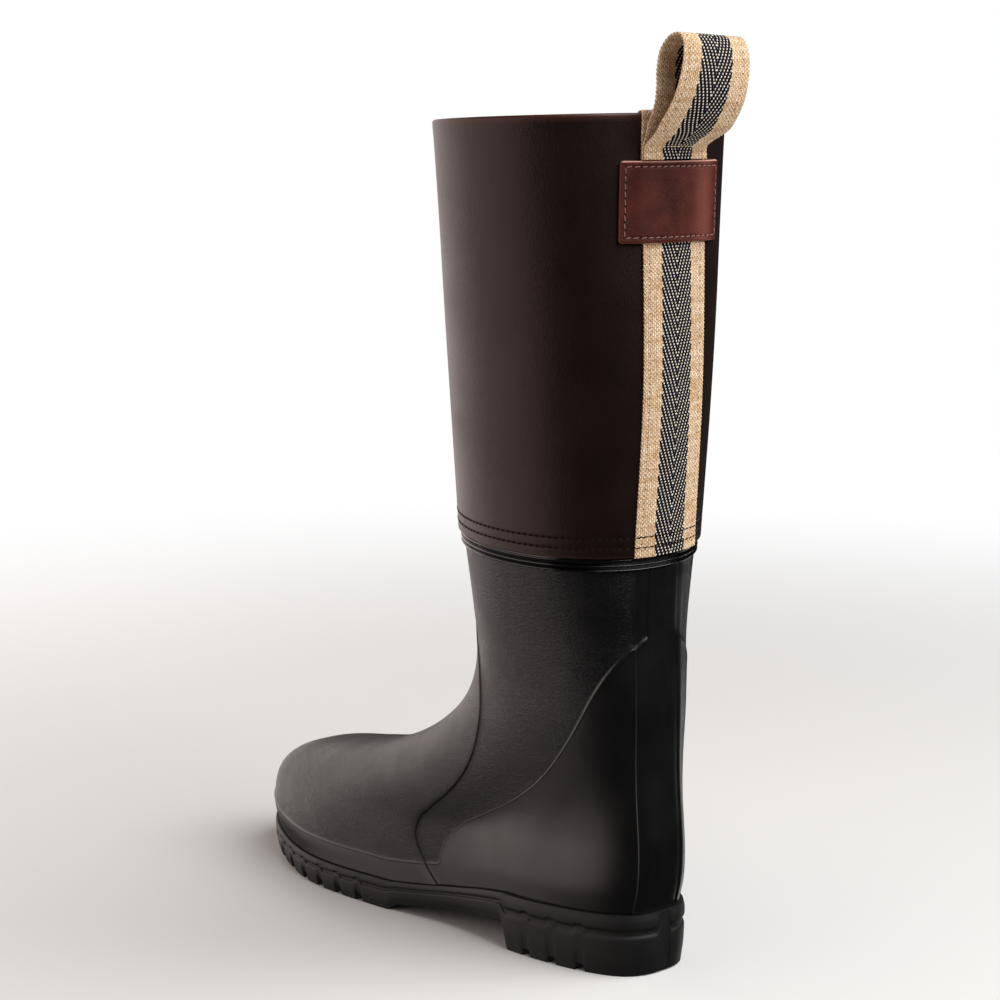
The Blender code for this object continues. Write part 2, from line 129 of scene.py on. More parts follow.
# Soft hollows and swells of the standing leather, at a turn in degrees and a height over the hem.
WaveRow = namedtuple("WaveRow", "turn height wide tall out")
LEATHER_WAVES = [
    WaveRow(62, 120, 22, 60, -0.35),
    WaveRow(95, 60, 26, 45, 0.30),
    WaveRow(118, 150, 24, 40, -0.30),
    WaveRow(40, 45, 16, 30, -0.25),
    WaveRow(175, 95, 30, 60, 0.35),
    WaveRow(228, 70, 26, 50, -0.35),
    WaveRow(262, 140, 24, 48, 0.30),
    WaveRow(308, 75, 24, 75, 0.60),
]

# The rubber's neck and its beads below the hem.
NECK_OUT = -(LEATHER_WALL + GAP)
COLLAR_OUT = -2.4
COLLAR_BELOW_HEM = 6.2
NECK_ABOVE_HEM = 20.0
BeadRow = namedtuple("BeadRow", "foot middle")
BEADS = [BeadRow(-6.15, -5.75), BeadRow(-5.2, -3.6), BeadRow(-3.05, -1.15)]
BEAD_RADIUS = 0.45
BEAD_ARC = (-0.3 * math.pi, 0.5 * math.pi)
BEAD_STEPS = 6
BEAD_OUT = -1.0
BAND_OUT = -2.1
TOP_BAND_OUT = -1.5
TUCK_BELOW_HEM = 0.15
TUCK_STEP = 0.03
NECK_ROUND = 0.5

# Rings of the rubber foot, as its solid has them.
FootRow = namedtuple("FootRow", "front_y front_z back_y back_z half_width oval vamp")
FOOT = [
    FootRow(-222, 21.0, 59.0, 29.6, 50.0, 0.00, 190),
    FootRow(-226, 33.0, 61.5, 40.0, 51.0, 0.00, 187),
    FootRow(-222, 45.5, 62.7, 50.0, 50.0, 0.06, 176),
    FootRow(-206, 55.0, 63.0, 60.0, 48.0, 0.15, 161),
    FootRow(-177, 61.0, 62.6, 69.0, 46.0, 0.30, 141),
    FootRow(-145, 68.0, 62.0, 78.0, 44.0, 0.50, 120),
    FootRow(-112, 79.5, 61.3, 89.0, 42.3, 0.72, 98),
    FootRow(-83, 95.5, 60.7, 102.0, 41.2, 0.90, 76),
    FootRow(-62, 114.5, 60.4, 118.0, 40.8, 1.00, 56),
    FootRow(-53, 136.5, 59.8, 138.0, 41.2, 1.00, 38),
    FootRow(-54, 161.0, 58.6, 161.0, 44.2, 1.00, 22),
]
COLLAR_VAMP = 17.0
PrintRow = namedtuple("PrintRow", "place outer inner")
FOOTPRINT = [
    PrintRow(-1.00, 1.04, 1.10),
    PrintRow(-0.75, 1.09, 1.12),
    PrintRow(-0.45, 1.08, 1.08),
    PrintRow(-0.10, 0.91, 0.82),
    PrintRow(0.25, 0.73, 0.60),
    PrintRow(0.60, 0.79, 0.76),
    PrintRow(1.00, 0.82, 0.82),
]
PRINT_BLUNTNESS = 0.7
TOE_SWING = -6.0

# Panels of the rubber.
STAY_EDGE = 14.9
STAY_RIDGE = 8.8
STAY_STEP = 0.3
STAY_SOFT_RUN = 3.0
STAY_LIP = 0.16
LIP_WIDTH = 0.32
LIP_PLACES = np.linspace(-0.8, 0.9, 9)
COUNTER_LIP = 0.08
COUNTER_LIP_ROWS = 0.03
COUNTER_CROWDING = 1.6
NOTCH_LIP = 0.06
NOTCH_ROWS = 0.11
VAMP_STEP = 0.7
COUNTER_STEP = 0.6
STEP_RUN = 0.9
COUNTER_ROW = 9.9
FOXING_ROW = 0.95
COUNTER_STEP_ROWS = 0.10
COUNTER_FLAT = 0.045
COUNTER_REACH = 0.52
COUNTER_FALL = 1.6
STAY_SHARE = 0.087
VAMP_SHARE = 0.55
VAMP_CROWDING = 1.4
STAY_COLUMNS = 5
RIDGE_COLUMNS = 3
SIDE_COLUMNS = 56
VAMP_COLUMNS = 44
COUNTER_ROWS = 44
ANKLE_ROWS = 64
INSIDE_ROWS = 40
SKIN_STEPS = 120
STEP_SHARES = np.linspace(0.0, 1.0, 6)
GRAIN_AT_STAY = 0.2
GRAIN_RUN = 0.7
GRAIN_SWEEP = 0.0026
SWEEP_REACH = 90.0

# The sole.
SoleRow = namedtuple("SoleRow", "y top bottom")
SOLE = [
    SoleRow(62, 29.3, 1.2),
    SoleRow(54, 29.3, 0.0),
    SoleRow(-8, 27.6, 0.0),
    SoleRow(-12, 27.2, 13.0),
    SoleRow(-50, 20.6, 9.0),
    SoleRow(-84, 15.8, 4.0),
    SoleRow(-90, 15.2, 0.0),
    SoleRow(-160, 14.4, 0.0),
    SoleRow(-195, 16.6, 2.6),
    SoleRow(-226, 21.4, 8.6),
]
LUG_DEPTH = 3.6
LUG_PITCH = 15.0
LUG_GROOVE = 5.0
LUG_WALL = 0.8
CHEVRON = 9.0
HEEL_LUGS = (-8.0, 4)
FOREFOOT_LUGS = (-212.0, 8)
SOLE_TIP = 0.035
TIP_REACH = 0.42
TIP_STATIONS = 9
TIP_CROWDING = 1.5
TIP_CLEAR = 0.01
SOLE_STEP = 1.3
SOLE_ROUND = 0.5
TREAD_COLUMNS = 24
SOLE_TOP_COLUMNS = 6
INSOLE_STATIONS = 72
INSOLE_COLUMNS = 18
INSOLE_BEVEL = 1.2
INSOLE_BEVEL_ANGLE = 50
SideRow = namedtuple("SideRow", "down out")
SOLE_SIDE = [
    SideRow(0.00, 2.6),
    SideRow(0.10, 3.3),
    SideRow(0.22, 3.3),
    SideRow(0.26, 2.3),
    SideRow(0.34, 2.3),
    SideRow(0.38, 3.2),
    SideRow(0.70, 2.8),
    SideRow(1.00, 1.6),
]

# The pull loop's path: how far it stands off the leather, and its height over the sewing line.
LoopRow = namedtuple("LoopRow", "out up")
LOOP = [
    LoopRow(1.9, -6.0),
    LoopRow(1.9, 0.0),
    LoopRow(7.0, 8.0),
    LoopRow(10.8, 16.0),
    LoopRow(10.8, 24.0),
    LoopRow(9.6, 32.0),
    LoopRow(10.4, 39.5),
    LoopRow(14.6, 45.0),
    LoopRow(20.5, 46.2),
    LoopRow(24.2, 42.0),
    LoopRow(25.8, 34.5),
    LoopRow(25.4, 26.0),
    LoopRow(23.0, 17.5),
    LoopRow(16.5, 8.5),
    LoopRow(6.0, 2.0),
    LoopRow(3.0, -1.0),
    LoopRow(3.0, -6.0),
]
LOOP_POINTS = 600
LOOP_SEWN_ROW = 15
LOOP_SEAM_DROP = 1.0
LOOP_SEAM_HALF = 14.3
LOOP_SEAM_PITCH = 2.6
LOOP_STITCH_LIFT = 0.02
LOOP_LEAN = 0.0008
LOOP_TURN = 14.0
LOOP_TURN_RUN = 10.0
LOOP_TURN_END = 45.0
LOOP_SHIFT = 0.6
LOOP_CURVE_LEFT = 0.4
LOOP_CURVE_RUN = 25.0
STRAP_DRIFT = 1.5
STRAP_DRIFT_START = 338.0
STRAP_DRIFT_RUN = 30.0
STRAP_BOW = 1.7
STRAP_BOW_HEIGHT = 272.0
STRAP_BOW_TALL = 55.0
LOOP_DRIFT_RUN = 8.0

# The webbing's weave: beige selvedges and a navy stripe with cream points in a herringbone.
NAVY_HALF = 8.8
NAVY_SHIFT = 0.6
POINT_ACROSS = 2.0
POINT_ALONG = 1.3
POINT_WIDE = 0.70
POINT_TALL = 0.88
POINT_SHIFT = 0.125
STRIPE_TOOTH = 0.7
GRAIN_ACROSS = 1.05
GRAIN_ALONG = 1.85
GRAIN_SLANT = 0.55
WEBBING_ROW = 0.36
WEBBING_COLUMNS = 74
UNDER_COLUMNS = 40
EDGE_STEPS = 6
WEAVE_RELIEF = 0.10
WEAVE_MIDDLE = 0.6
SELVEDGE_SCALLOP = 0.2
SCALLOP_POWER = 8
STRAP_SEAM_INSET = 3.5
STRAP_SEAM_PITCH = 3.1

# The patch: its seam, its pierced holes and seam line painted dark as shade, its burnished edge, a painted
# highlight on its top edge, and a lighter stretch over the strap's edge, partly rubbed and partly painted
# highlight.
PATCH_ROW = 0.4
PATCH_CORNER = 1.6
PATCH_EDGE_STEPS = 5
PATCH_EDGE_FLATNESS = 0.02
PATCH_SEAM_INSET = 2.5
PATCH_SEAM_PITCH = 3.5
PATCH_SEAM_SINK = 0.09
PATCH_SEAM_WIDTH = 0.55
PATCH_SWELL = 0.04
SWELL_OUTSIDE_SEAM = 1.5
SWELL_WIDTH = 0.7
HOLE_DEPTH = 0.14
HOLE_RADIUS = 0.68
HOLE_SOFTNESS = 1.35
SEAM_SHADE = 0.45
BURNISH_START = 0.15
BURNISH_RUN = 0.6
# A painted highlight along the patch's top edge.
TOP_HIGHLIGHT_START = 0.3
TOP_HIGHLIGHT_RUN = 0.4
# Where the patch bends over the strap's edge it is lighter: partly pull-up lightening, partly painted
# highlight.
RUBBED_HIGHLIGHT_PLACE = -15.0
RUBBED_HIGHLIGHT_WIDTH = 7.0

# Stitches: size, slant in degrees, and how far the middle lies above the face that is sewn.
Stitch = namedtuple("Stitch", "length width height slant lift")
HEM_STITCH = Stitch(0.78 * HEM_STITCH_PITCH, 0.95, 0.5, 7, 0.0)
STRAP_HEM_STITCH = Stitch(1.12 * HEM_STITCH_PITCH, 0.6, 0.46, 4, 0.12)
PATCH_STITCH = Stitch(0.84 * PATCH_SEAM_PITCH, 0.44, 0.4, 6, 0.14)
STRAP_STITCH = Stitch(0.78 * STRAP_SEAM_PITCH, 0.5, 0.36, 4, -0.06)
STITCH_SIDES = 8
STITCH_DIP = 0.6
HEM_POINTS = 2000
HEM_STEP = 0.01


# Curves and places on the boot.

def smooth(values, at):
    """Read a column of evenly spaced values at fractional places, on a smooth curve."""
    values = np.asarray(values, float)
    at = np.clip(np.asarray(at, float), 0, len(values) - 1)
    first = np.minimum(at.astype(int), len(values) - 2)
    part = at - first
    before = 2 * values[0] - values[1]
    after = 2 * values[-1] - values[-2]
    padded = np.concatenate([[before], values, [after]])
    p0, p1, p2, p3 = (padded[first + step] for step in range(4))
    curve = 2 * p0 - 5 * p1 + 4 * p2 - p3 + part * (3 * (p1 - p2) + p3 - p0)
    return p1 + 0.5 * part * (p2 - p0 + part * curve)


def ease(share):
    """A soft step from 0 to 1."""
    share = np.clip(share, 0.0, 1.0)
    return share * share * (3 - 2 * share)


def bump(place, middle, width):
    """A soft hump of height 1 round a middle."""
    return np.exp(-((place - middle) / width) ** 2)


def column(rows, name):
    """One named column of a table."""
    return [getattr(row, name) for row in rows]


def read(rows, key, at, *names):
    """Columns of a table on smooth curves, where its key column has the values at."""
    place = np.interp(at, column(rows, key), range(len(rows)))
    return [smooth(column(rows, name), place) for name in names]


def between(front, back, along):
    """A value from front, where along is -1, to back, where it is 1."""
    return (front + back) / 2 + along * (back - front) / 2


def wrapped(turn):
    """The same turn, counted from the back either way round."""
    return (turn + math.pi) % (2 * math.pi) - math.pi


def run_length(path):
    """Distances along a path of points, from its start."""
    steps = np.linalg.norm(np.diff(path, axis=-2), axis=-1)
    return np.concatenate([np.zeros_like(steps[..., :1]), np.cumsum(steps, axis=-1)], axis=-1)


def points(x, y, z):
    """Stack three arrays of the same shape into points."""
    return np.stack(np.broadcast_arrays(x, y, z), axis=-1)


def unit(vectors):
    """Vectors made one long."""
    return vectors / np.maximum(np.linalg.norm(vectors, axis=-1, keepdims=True), TINY)


def shaft_point(turn, height, out):
    """A point of the leather's outer face, moved outwards by out; turn 0 is the back, which the stiff
    strap flattens a little."""
    depth, width, centre = read(SHAFT, "height", height, "depth", "width", "centre")
    flat = np.maximum(0.0, 1 - (np.abs(wrapped(turn)) * width / BACK_FLAT_HALF) ** 2) ** 2
    out = out - BACK_FLAT * flat * ease((height - BACK_FLAT_START) / BACK_FLAT_RUN)
    return points((width + out) * np.sin(turn), centre + (depth + out) * np.cos(turn), height)


def rim_height(turn):
    """Height of the leather's rim at a turn."""
    return RIM_HEIGHT + RIM_LEAN_BACK * shaft_point(turn, RIM_HEIGHT, 0.0)[..., 1]


def hem_height(turn):
    """Height of the leather's lower edge at a turn."""
    place = shaft_point(turn, HEM_HEIGHT, 0.0)
    return HEM_HEIGHT + HEM_LEAN_OUT * place[..., 0] + HEM_LEAN_BACK * place[..., 1]


def back_turn(across, height):
    """The turn of a place on the back, given its distance from the middle line."""
    return across / read(SHAFT, "height", height, "width")[0]


def collar_row():
    """The topmost ring of the foot, where it meets the beads below the hem."""
    front, back, side = (
        shaft_point(turn, hem_height(turn) - COLLAR_BELOW_HEM, COLLAR_OUT)
        for turn in (math.pi, 0.0, math.pi / 2)
    )
    return FootRow(front[1], front[2], back[1], back[2], side[0], 1.0, COLLAR_VAMP)


FOOT_RINGS = FOOT + [collar_row()]
TOP_ROW = len(FOOT_RINGS) - 1


def sole_top(y):
    """Height of the sole's upper face, on a smooth curve along the foot."""
    return read(SOLE[::-1], "y", y, "top")[0]


def sole_bottom(y):
    """Height of the sole's lower face before the grooves are cut."""
    rows = SOLE[::-1]
    return np.interp(y, column(rows, "y"), column(rows, "bottom"))


def foot_point(turn, row):
    """A point of the rubber's skin: turn goes round from the back, row climbs the rings."""
    front_y, front_z, back_y, back_z, half_width, oval = (
        smooth(column(FOOT_RINGS, name), row) for name in FootRow._fields[:6]
    )
    along = np.cos(turn)
    across = np.sin(turn)
    outer, inner = read(FOOTPRINT, "place", along, "outer", "inner")
    footprint = np.where(across >= 0, outer, inner) * np.abs(across) ** PRINT_BLUNTNESS
    shape = (1 - oval) * footprint + oval * np.abs(across)
    swing = TOE_SWING * ((1 - along) / 2) ** 2 * (1 - oval)
    feather = FOOT_RINGS[0]
    first_y = between(feather.front_y, feather.back_y, along)
    sag = sole_top(first_y) + GAP - between(feather.front_z, feather.back_z, along)
    x = swing + half_width * np.sign(across) * shape
    z = between(front_z, back_z, along) + sag * (1 - oval) ** 2
    return points(x, between(front_y, back_y, along), z)


def skin_direction(turn, row):
    """Unit direction out of the rubber's skin, from small steps round it and up it."""
    row = np.clip(row, 2 * SMALL, TOP_ROW - 2 * SMALL)
    up = foot_point(turn, row + SMALL) - foot_point(turn, row - SMALL)
    around = foot_point(turn + SMALL, row) - foot_point(turn - SMALL, row)
    return unit(np.cross(up, around))


# Working with pieces.

def only(piece):
    """Select one piece alone and make it active."""
    bpy.ops.object.select_all(action="DESELECT")
    piece.select_set(True)
    bpy.context.view_layer.objects.active = piece


def lay_sheet(name, grid, cut, marks=None):
    """Shape a flat sheet into a grid of points. Its UV map keeps the flat cut in millimetres, and
    marks are numbers that its finish reads at each point."""
    grid = np.asarray(grid, float)
    rows, columns = grid.shape[0] - 1, grid.shape[1] - 1
    bpy.ops.object.select_all(action="DESELECT")
    bpy.ops.mesh.primitive_grid_add(x_subdivisions=columns, y_subdivisions=rows, size=1.0)
    sheet = bpy.context.active_object
    sheet.name = name
    mesh = sheet.data
    mesh.name = name
    flat = np.empty(len(mesh.vertices) * 3)
    mesh.vertices.foreach_get("co", flat)
    flat = flat.reshape(-1, 3)
    i = np.rint((flat[:, 0] + 0.5) * columns).astype(int)
    j = np.rint((flat[:, 1] + 0.5) * rows).astype(int)
    mesh.vertices.foreach_set("co", ((grid[j, i] + TO_FRAME) * MM).ravel())
    corners = np.empty(len(mesh.loops), int)
    mesh.loops.foreach_get("vertex_index", corners)
    uv = np.asarray(cut, float)[j, i][corners]
    mesh.uv_layers.active.data.foreach_set("uv", uv.ravel())
    for mark, values in (marks or {}).items():
        layer = mesh.attributes.new(mark, "FLOAT", "POINT")
        layer.data.foreach_set("value", np.asarray(values, np.float32)[j, i])
    mesh.update()
    return sheet


def close_sheet(sheet, caps=False):
    """Sew a sheet's meeting edges together, cap its ends where asked, and turn its faces outwards."""
    only(sheet)
    bpy.ops.object.mode_set(mode="EDIT")
    bpy.ops.mesh.select_all(action="SELECT")
    bpy.ops.mesh.remove_doubles(threshold=WELD)
    if caps:
        bpy.ops.mesh.fill_holes(sides=0)
    bpy.ops.mesh.select_all(action="SELECT")
    bpy.ops.mesh.normals_make_consistent(inside=False)
    bpy.ops.object.mode_set(mode="OBJECT")


def apply_modifier(piece, kind, **settings):
    """Add a modifier with its settings and apply it."""
    only(piece)
    modifier = piece.modifiers.new(kind.lower(), kind)
    for setting, value in settings.items():
        setattr(modifier, setting, value)
    bpy.ops.object.modifier_apply(modifier=modifier.name)


def finish_piece(piece, looks, slot, solid=None, sharp=40):
    """Give a piece its finishes, let it ride on the boot and stand for its solid."""
    only(piece)
    bpy.ops.object.shade_smooth_by_angle(angle=math.radians(sharp))
    for look in looks:
        piece.data.materials.append(look)
    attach(piece, "root")
    if solid:
        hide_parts(solid)
    return piece


def inside_faces(piece, mark):
    """Give the piece's second finish to the faces whose points all carry a mark."""
    values = np.empty(len(piece.data.vertices), np.float32)
    piece.data.attributes[mark].data.foreach_get("value", values)
    for face in piece.data.polygons:
        if min(values[v] for v in face.vertices) > MARKED:
            face.material_index = 1


def flat_cut(grid):
    """Distances over a grid in millimetres, across each row and along each column."""
    along = run_length(grid.swapaxes(0, 1)).swapaxes(0, 1)
    return np.stack([run_length(grid), along], axis=-1)


# The rubber foot.

def foot_columns():
    """Columns once round the foot from the back: their side, panel and place in the panel."""
    ridge = STAY_RIDGE + LIP_PLACES
    edge = STAY_EDGE + LIP_PLACES
    stay = [
        *np.linspace(0, ridge[0], STAY_COLUMNS + 1)[:-1], *ridge,
        *np.linspace(ridge[-1], edge[0], RIDGE_COLUMNS + 1)[1:-1], *edge[:-1],
    ]
    half = [("stay", place) for place in stay]
    half += [("side", share) for share in np.linspace(0, 1, SIDE_COLUMNS + 1)]
    half += [("edge", share) for share in STEP_SHARES[1:-1]]
    half += [("vamp", 1 - (1 - share) ** VAMP_CROWDING) for share in np.linspace(0, 1, VAMP_COLUMNS + 1)]
    whole = [(1, *post) for post in half] + [(-1, *post) for post in half[-2::-1]]
    side, panel, share = zip(*whole)
    return np.array(side), np.array(panel), np.array(share)


def column_turns(posts, row):
    """The turn of every column on its ring, found by the length of skin from the back."""
    side, panel, share = posts
    sweep = np.linspace(0.0, math.pi, SKIN_STEPS + 1)
    length = run_length(foot_point(side[:, None] * sweep, row[:, None]))
    whole = length[:, -1]
    vamp_edge = whole - smooth(column(FOOT_RINGS, "vamp"), row)
    start_of = {"stay": 0.0, "side": STAY_EDGE + STEP_RUN, "edge": vamp_edge - STEP_RUN, "vamp": vamp_edge}
    end_of = {"stay": 1.0, "side": vamp_edge - STEP_RUN, "edge": vamp_edge, "vamp": whole}
    place = np.zeros(len(side))
    for name in start_of:
        here = panel == name
        start = np.broadcast_to(start_of[name], place.shape)[here]
        end = np.broadcast_to(end_of[name], place.shape)[here]
        place[here] = start + share[here] * (end - start)
    turns = [np.interp(place[k], length[k], sweep) for k in range(len(side))]
    return side * np.array(turns)


def overlay_edges(posts):
    """The ring on which each column leaves the counter and the toe's foxing."""
    panel, share = posts[1:]
    place = np.select(
        [panel == "stay", panel == "side", panel == "edge"],
        [STAY_SHARE * share / STAY_EDGE, STAY_SHARE + share * (VAMP_SHARE - STAY_SHARE), VAMP_SHARE],
        VAMP_SHARE + share * (1 - VAMP_SHARE),
    )
    run = np.clip((place - COUNTER_FLAT) / (COUNTER_REACH - COUNTER_FLAT), 0, 1)
    return FOXING_ROW + (COUNTER_ROW - FOXING_ROW) * (1 - run ** COUNTER_FALL)


def panel_steps(posts):
    """How far each column's panel stands proud of the skin, with a fine lip on the stay's edges."""
    side, panel, share = posts
    run = np.where(side > 0, STEP_RUN, STAY_SOFT_RUN)
    stay = 2 * STAY_STEP - STAY_STEP * ease((share - STAY_RIDGE - STEP_RUN + run) / run)
    stay -= STAY_STEP * ease((share - STAY_EDGE - STEP_RUN + run) / run)
    lips = bump(share, STAY_RIDGE, LIP_WIDTH) + bump(share, STAY_EDGE, LIP_WIDTH)
    stay += np.where(side > 0, STAY_LIP, 0.0) * lips
    return np.select(
        [panel == "stay", panel == "side", panel == "edge"], [stay, 0.0, VAMP_STEP * ease(share)], VAMP_STEP
    )


def bead_profile():
    """Heights over the hem, and offsets: bands that lean out to a thin bead on top, then the neck."""
    profile = []
    for bead in BEADS:
        profile.append((bead.foot, BAND_OUT))
        for angle in np.linspace(*BEAD_ARC, BEAD_STEPS + 1):
            out = BEAD_OUT + BEAD_RADIUS * (math.cos(angle) - 1)
            profile.append((bead.middle + BEAD_RADIUS * math.sin(angle), out))
        profile.append((bead.middle + BEAD_RADIUS, BAND_OUT))
    profile[-1] = (profile[-1][0], TOP_BAND_OUT)
    profile.append((-TUCK_BELOW_HEM, TOP_BAND_OUT))
    profile.append((TUCK_STEP - TUCK_BELOW_HEM, NECK_OUT))
    profile.append((NECK_ABOVE_HEM - NECK_ROUND, NECK_OUT))
    profile.append((NECK_ABOVE_HEM, NECK_OUT - NECK_WALL / 2))
    return profile


def rubber_foot():
    """The rubber upper: outer skin with its panels and beads, then the lined inside back down."""
    posts = foot_columns()
    side, panel, share = posts
    edge = overlay_edges(posts)
    proud = panel_steps(posts)
    grained = np.where(panel == "side", GRAIN_AT_STAY + (1 - GRAIN_AT_STAY) * ease(share / GRAIN_RUN), 1.0)
    grained = np.where(panel == "stay", 0.0, grained)
    backed = np.where(panel == "stay", ease((share - STAY_RIDGE) / STEP_RUN), 1.0)
    notched = np.where(panel == "stay", backed * ease((STAY_EDGE - share) / STEP_RUN), 0.0)
    rings, grain = [], []
    zones = [("counter", 1 - (1 - step) ** COUNTER_CROWDING) for step in np.linspace(0, 1, COUNTER_ROWS + 1)]
    zones += [("step", step) for step in STEP_SHARES[1:-1]]
    zones += [("ankle", step) for step in np.linspace(0, 1, ANKLE_ROWS + 1)]
    for zone, step in zones:
        above = edge + COUNTER_STEP_ROWS
        row = {
            "counter": edge * step,
            "step": edge + COUNTER_STEP_ROWS * step,
            "ankle": above + (TOP_ROW - above) * step,
        }[zone]
        overlay = backed * {"counter": 1.0, "step": 1 - ease(step), "ankle": 0.0}[zone]
        lip = backed * COUNTER_LIP * bump(row, edge, COUNTER_LIP_ROWS)
        lip += notched * NOTCH_LIP * bump(row, edge + NOTCH_ROWS, COUNTER_LIP_ROWS)
        turn = column_turns(posts, row)
        skin = foot_point(turn, row)
        place = skin + (proud + COUNTER_STEP * overlay + lip)[:, None] * skin_direction(turn, row)
        if zone == "counter" and step == 0:
            place[:, 2] = skin[:, 2]
        rings.append(place)
        grain.append(grained * (1 - overlay))
    top_turns = column_turns(posts, np.full(len(side), float(TOP_ROW)))
    collar = len(rings)
    for height, out in bead_profile():
        rings.append(shaft_point(top_turns, hem_height(top_turns) + height, out))
    first_inside = len(rings)
    for height in (NECK_ABOVE_HEM - NECK_ROUND, -COLLAR_BELOW_HEM / 2):
        rings.append(shaft_point(top_turns, hem_height(top_turns) + height, NECK_OUT - NECK_WALL))
    for step in np.linspace(0, 1, INSIDE_ROWS + 1):
        row = np.full(len(side), TOP_ROW * (1 - step))
        turn = column_turns(posts, row)
        skin = foot_point(turn, row)
        inside = skin - RUBBER_WALL * skin_direction(turn, row)
        if step == 1:
            inside[:, 2] = skin[:, 2]
        rings.append(inside)
    rings.append(rings[0])
    grain += [0 * grained] * (len(rings) - len(grain))
    grid = np.array(rings)
    cut = flat_cut(grid)
    half = cut[:, -1:, 0] / 2
    from_back = half - np.abs(cut[..., 0] - half)
    swept = 1 - bump(np.maximum(from_back - STAY_EDGE, 0), 0, SWEEP_REACH)
    cut[..., 1] -= cut[collar, :, 1] + GRAIN_SWEEP * SWEEP_REACH ** 2 * swept
    beaded = np.zeros(grid.shape[:2])
    beaded[collar:first_inside - 1] = 1.0
    lined = np.zeros(grid.shape[:2])
    lined[first_inside - 1:-1] = 1.0
    foot = lay_sheet("rubber_foot_skin", grid, cut, {"grain": grain, "beaded": beaded, "lined": lined})
    close_sheet(foot)
    inside_faces(foot, "lined")
    looks = [moulded_rubber(), cotton_lining()]
    return finish_piece(foot, looks, "upper_rubber", "rubber_foot", sharp=50)


# The leather shaft and its hem seams.

def leather_out(turn, over_hem):
    """How far the leather's face swells or sinks: its waves, and the hollows along the hem seams."""
    out = np.zeros(np.broadcast(turn, over_hem).shape)
    for wave in LEATHER_WAVES:
        away = wrapped(turn - math.radians(wave.turn)) * SHAFT_GIRTH
        out = out + wave.out * bump(away, 0, wave.wide) * bump(over_hem, wave.height, wave.tall)
    for row in HEM_STITCH_ROWS:
        out = out - HEM_STITCH_SINK * bump(over_hem, row, HEM_STITCH_HOLLOW)
    return out


def leather_shaft():
    """The leather tube: outer face up from its cut edge, a turned rim, and the inner face down."""
    turn = np.linspace(0.0, 2 * math.pi, SHAFT_COLUMNS + 1)
    half = LEATHER_WALL / 2
    hem = hem_height(turn)
    tall = rim_height(turn) - half - hem
    rows, cut_rows, worn, sewn, inside = [], [], [], [], []

    def add(over_hem, out, along, wear, inner):
        rows.append(shaft_point(turn, hem + over_hem, out))
        cut_rows.append(np.stack(np.broadcast_arrays(turn * SHAFT_GIRTH, along), axis=-1))
        worn.append(np.full(len(turn), wear))
        # Painted shade along the hem's stitch lines, on the outer face.
        line = sum(bump(over_hem, row, HEM_SEAM_LINE) for row in HEM_STITCH_ROWS)
        sewn.append(np.zeros(len(turn)) + HEM_SEAM_SHADE * line * (1 - inner))
        inside.append(np.full(len(turn), inner))

    add(0.0, -half, -half, HEM_WEAR, 0.0)
    add(CUT_EDGE_LIFT, -CUT_EDGE_ROUND, -HEM_FIRST_ROW, HEM_WEAR, 0.0)
    for over_hem in np.arange(HEM_FIRST_ROW, HEM_ZONE, HEM_ROW):
        wear = HEM_WEAR * (1 - ease(over_hem / HEM_WEAR_RUN))
        add(over_hem, leather_out(turn, over_hem), over_hem, wear, 0.0)
    for share in np.linspace(0.0, 1.0, SHAFT_ROWS + 1):
        over_hem = HEM_ZONE + share * (tall - HEM_ZONE)
        out = leather_out(turn, over_hem) * ease((tall - over_hem) / RIM_LEVEL_RUN)
        wear = RIM_WEAR * ease((share - RIM_WEAR_START) / (1 - RIM_WEAR_START))
        add(over_hem, out, over_hem, wear, 0.0)
    for angle in np.linspace(0.0, math.pi, RIM_STEPS + 1)[1:]:
        wear = RIM_WEAR + RIM_CREST_WEAR * math.sin(angle)
        inner = float(angle > RIM_INSIDE_ANGLE)
        add(tall + half * math.sin(angle), half * (math.cos(angle) - 1), tall + half * angle, wear, inner)
    for share in np.linspace(1.0, 0.0, SHAFT_INSIDE_ROWS + 1)[1:]:
        over_hem = INSIDE_FOOT + share * (tall - INSIDE_FOOT)
        add(over_hem, -LEATHER_WALL, tall + RIM_TURN + (1 - share) * tall, 0.0, 1.0)
    add(CUT_EDGE_LIFT, CUT_EDGE_ROUND - LEATHER_WALL, 2 * tall + RIM_TURN + HEM_FIRST_ROW, 0.0, 1.0)
    add(0.0, -half, 2 * tall + RIM_TURN + half, 0.0, 0.0)
    marks = {"worn": worn, "sewn": sewn, "inside": inside}
    shaft = lay_sheet("leather_shaft_skin", rows, cut_rows, marks)
    close_sheet(shaft)
    inside_faces(shaft, "inside")
    looks = [smooth_leather(), leather_flesh()]
    return finish_piece(shaft, looks, "shaft_leather", "leather_shaft", sharp=60)


# The webbing band, its strap and its pull loop.

def round_section(width, thick, top, under):
    """A flat band's section with round edges, once round: places across and lifts from its middle."""
    edge = thick / 2
    flat = width / 2 - edge
    turns = np.linspace(math.pi / 2, -math.pi / 2, EDGE_STEPS + 1)[1:-1]
    across = np.concatenate([
        np.linspace(-flat, flat, top), flat + edge * np.cos(turns),
        np.linspace(flat, -flat, under), -flat - edge * np.cos(turns), [-flat],
    ])
    lift = np.concatenate([
        np.full(top, edge), edge * np.sin(turns), np.full(under, -edge), -edge * np.sin(turns), [edge],
    ])
    return across, lift


def face_directions(face, across, along):
    """Directions across, along and out of a band's middle face, which runs upwards or downwards."""
    sideways = face(across + FACE_STEP, along) - face(across - FACE_STEP, along)
    forwards = face(across, along + FACE_STEP) - face(across, along - FACE_STEP)
    return unit(sideways), unit(forwards), unit(np.cross(forwards, sideways))


def band_grid(face, across, along, lift):
    """Points of a band round its middle face, lifted square to that face."""
    return face(across, along) + lift[..., None] * face_directions(face, across, along)[2]


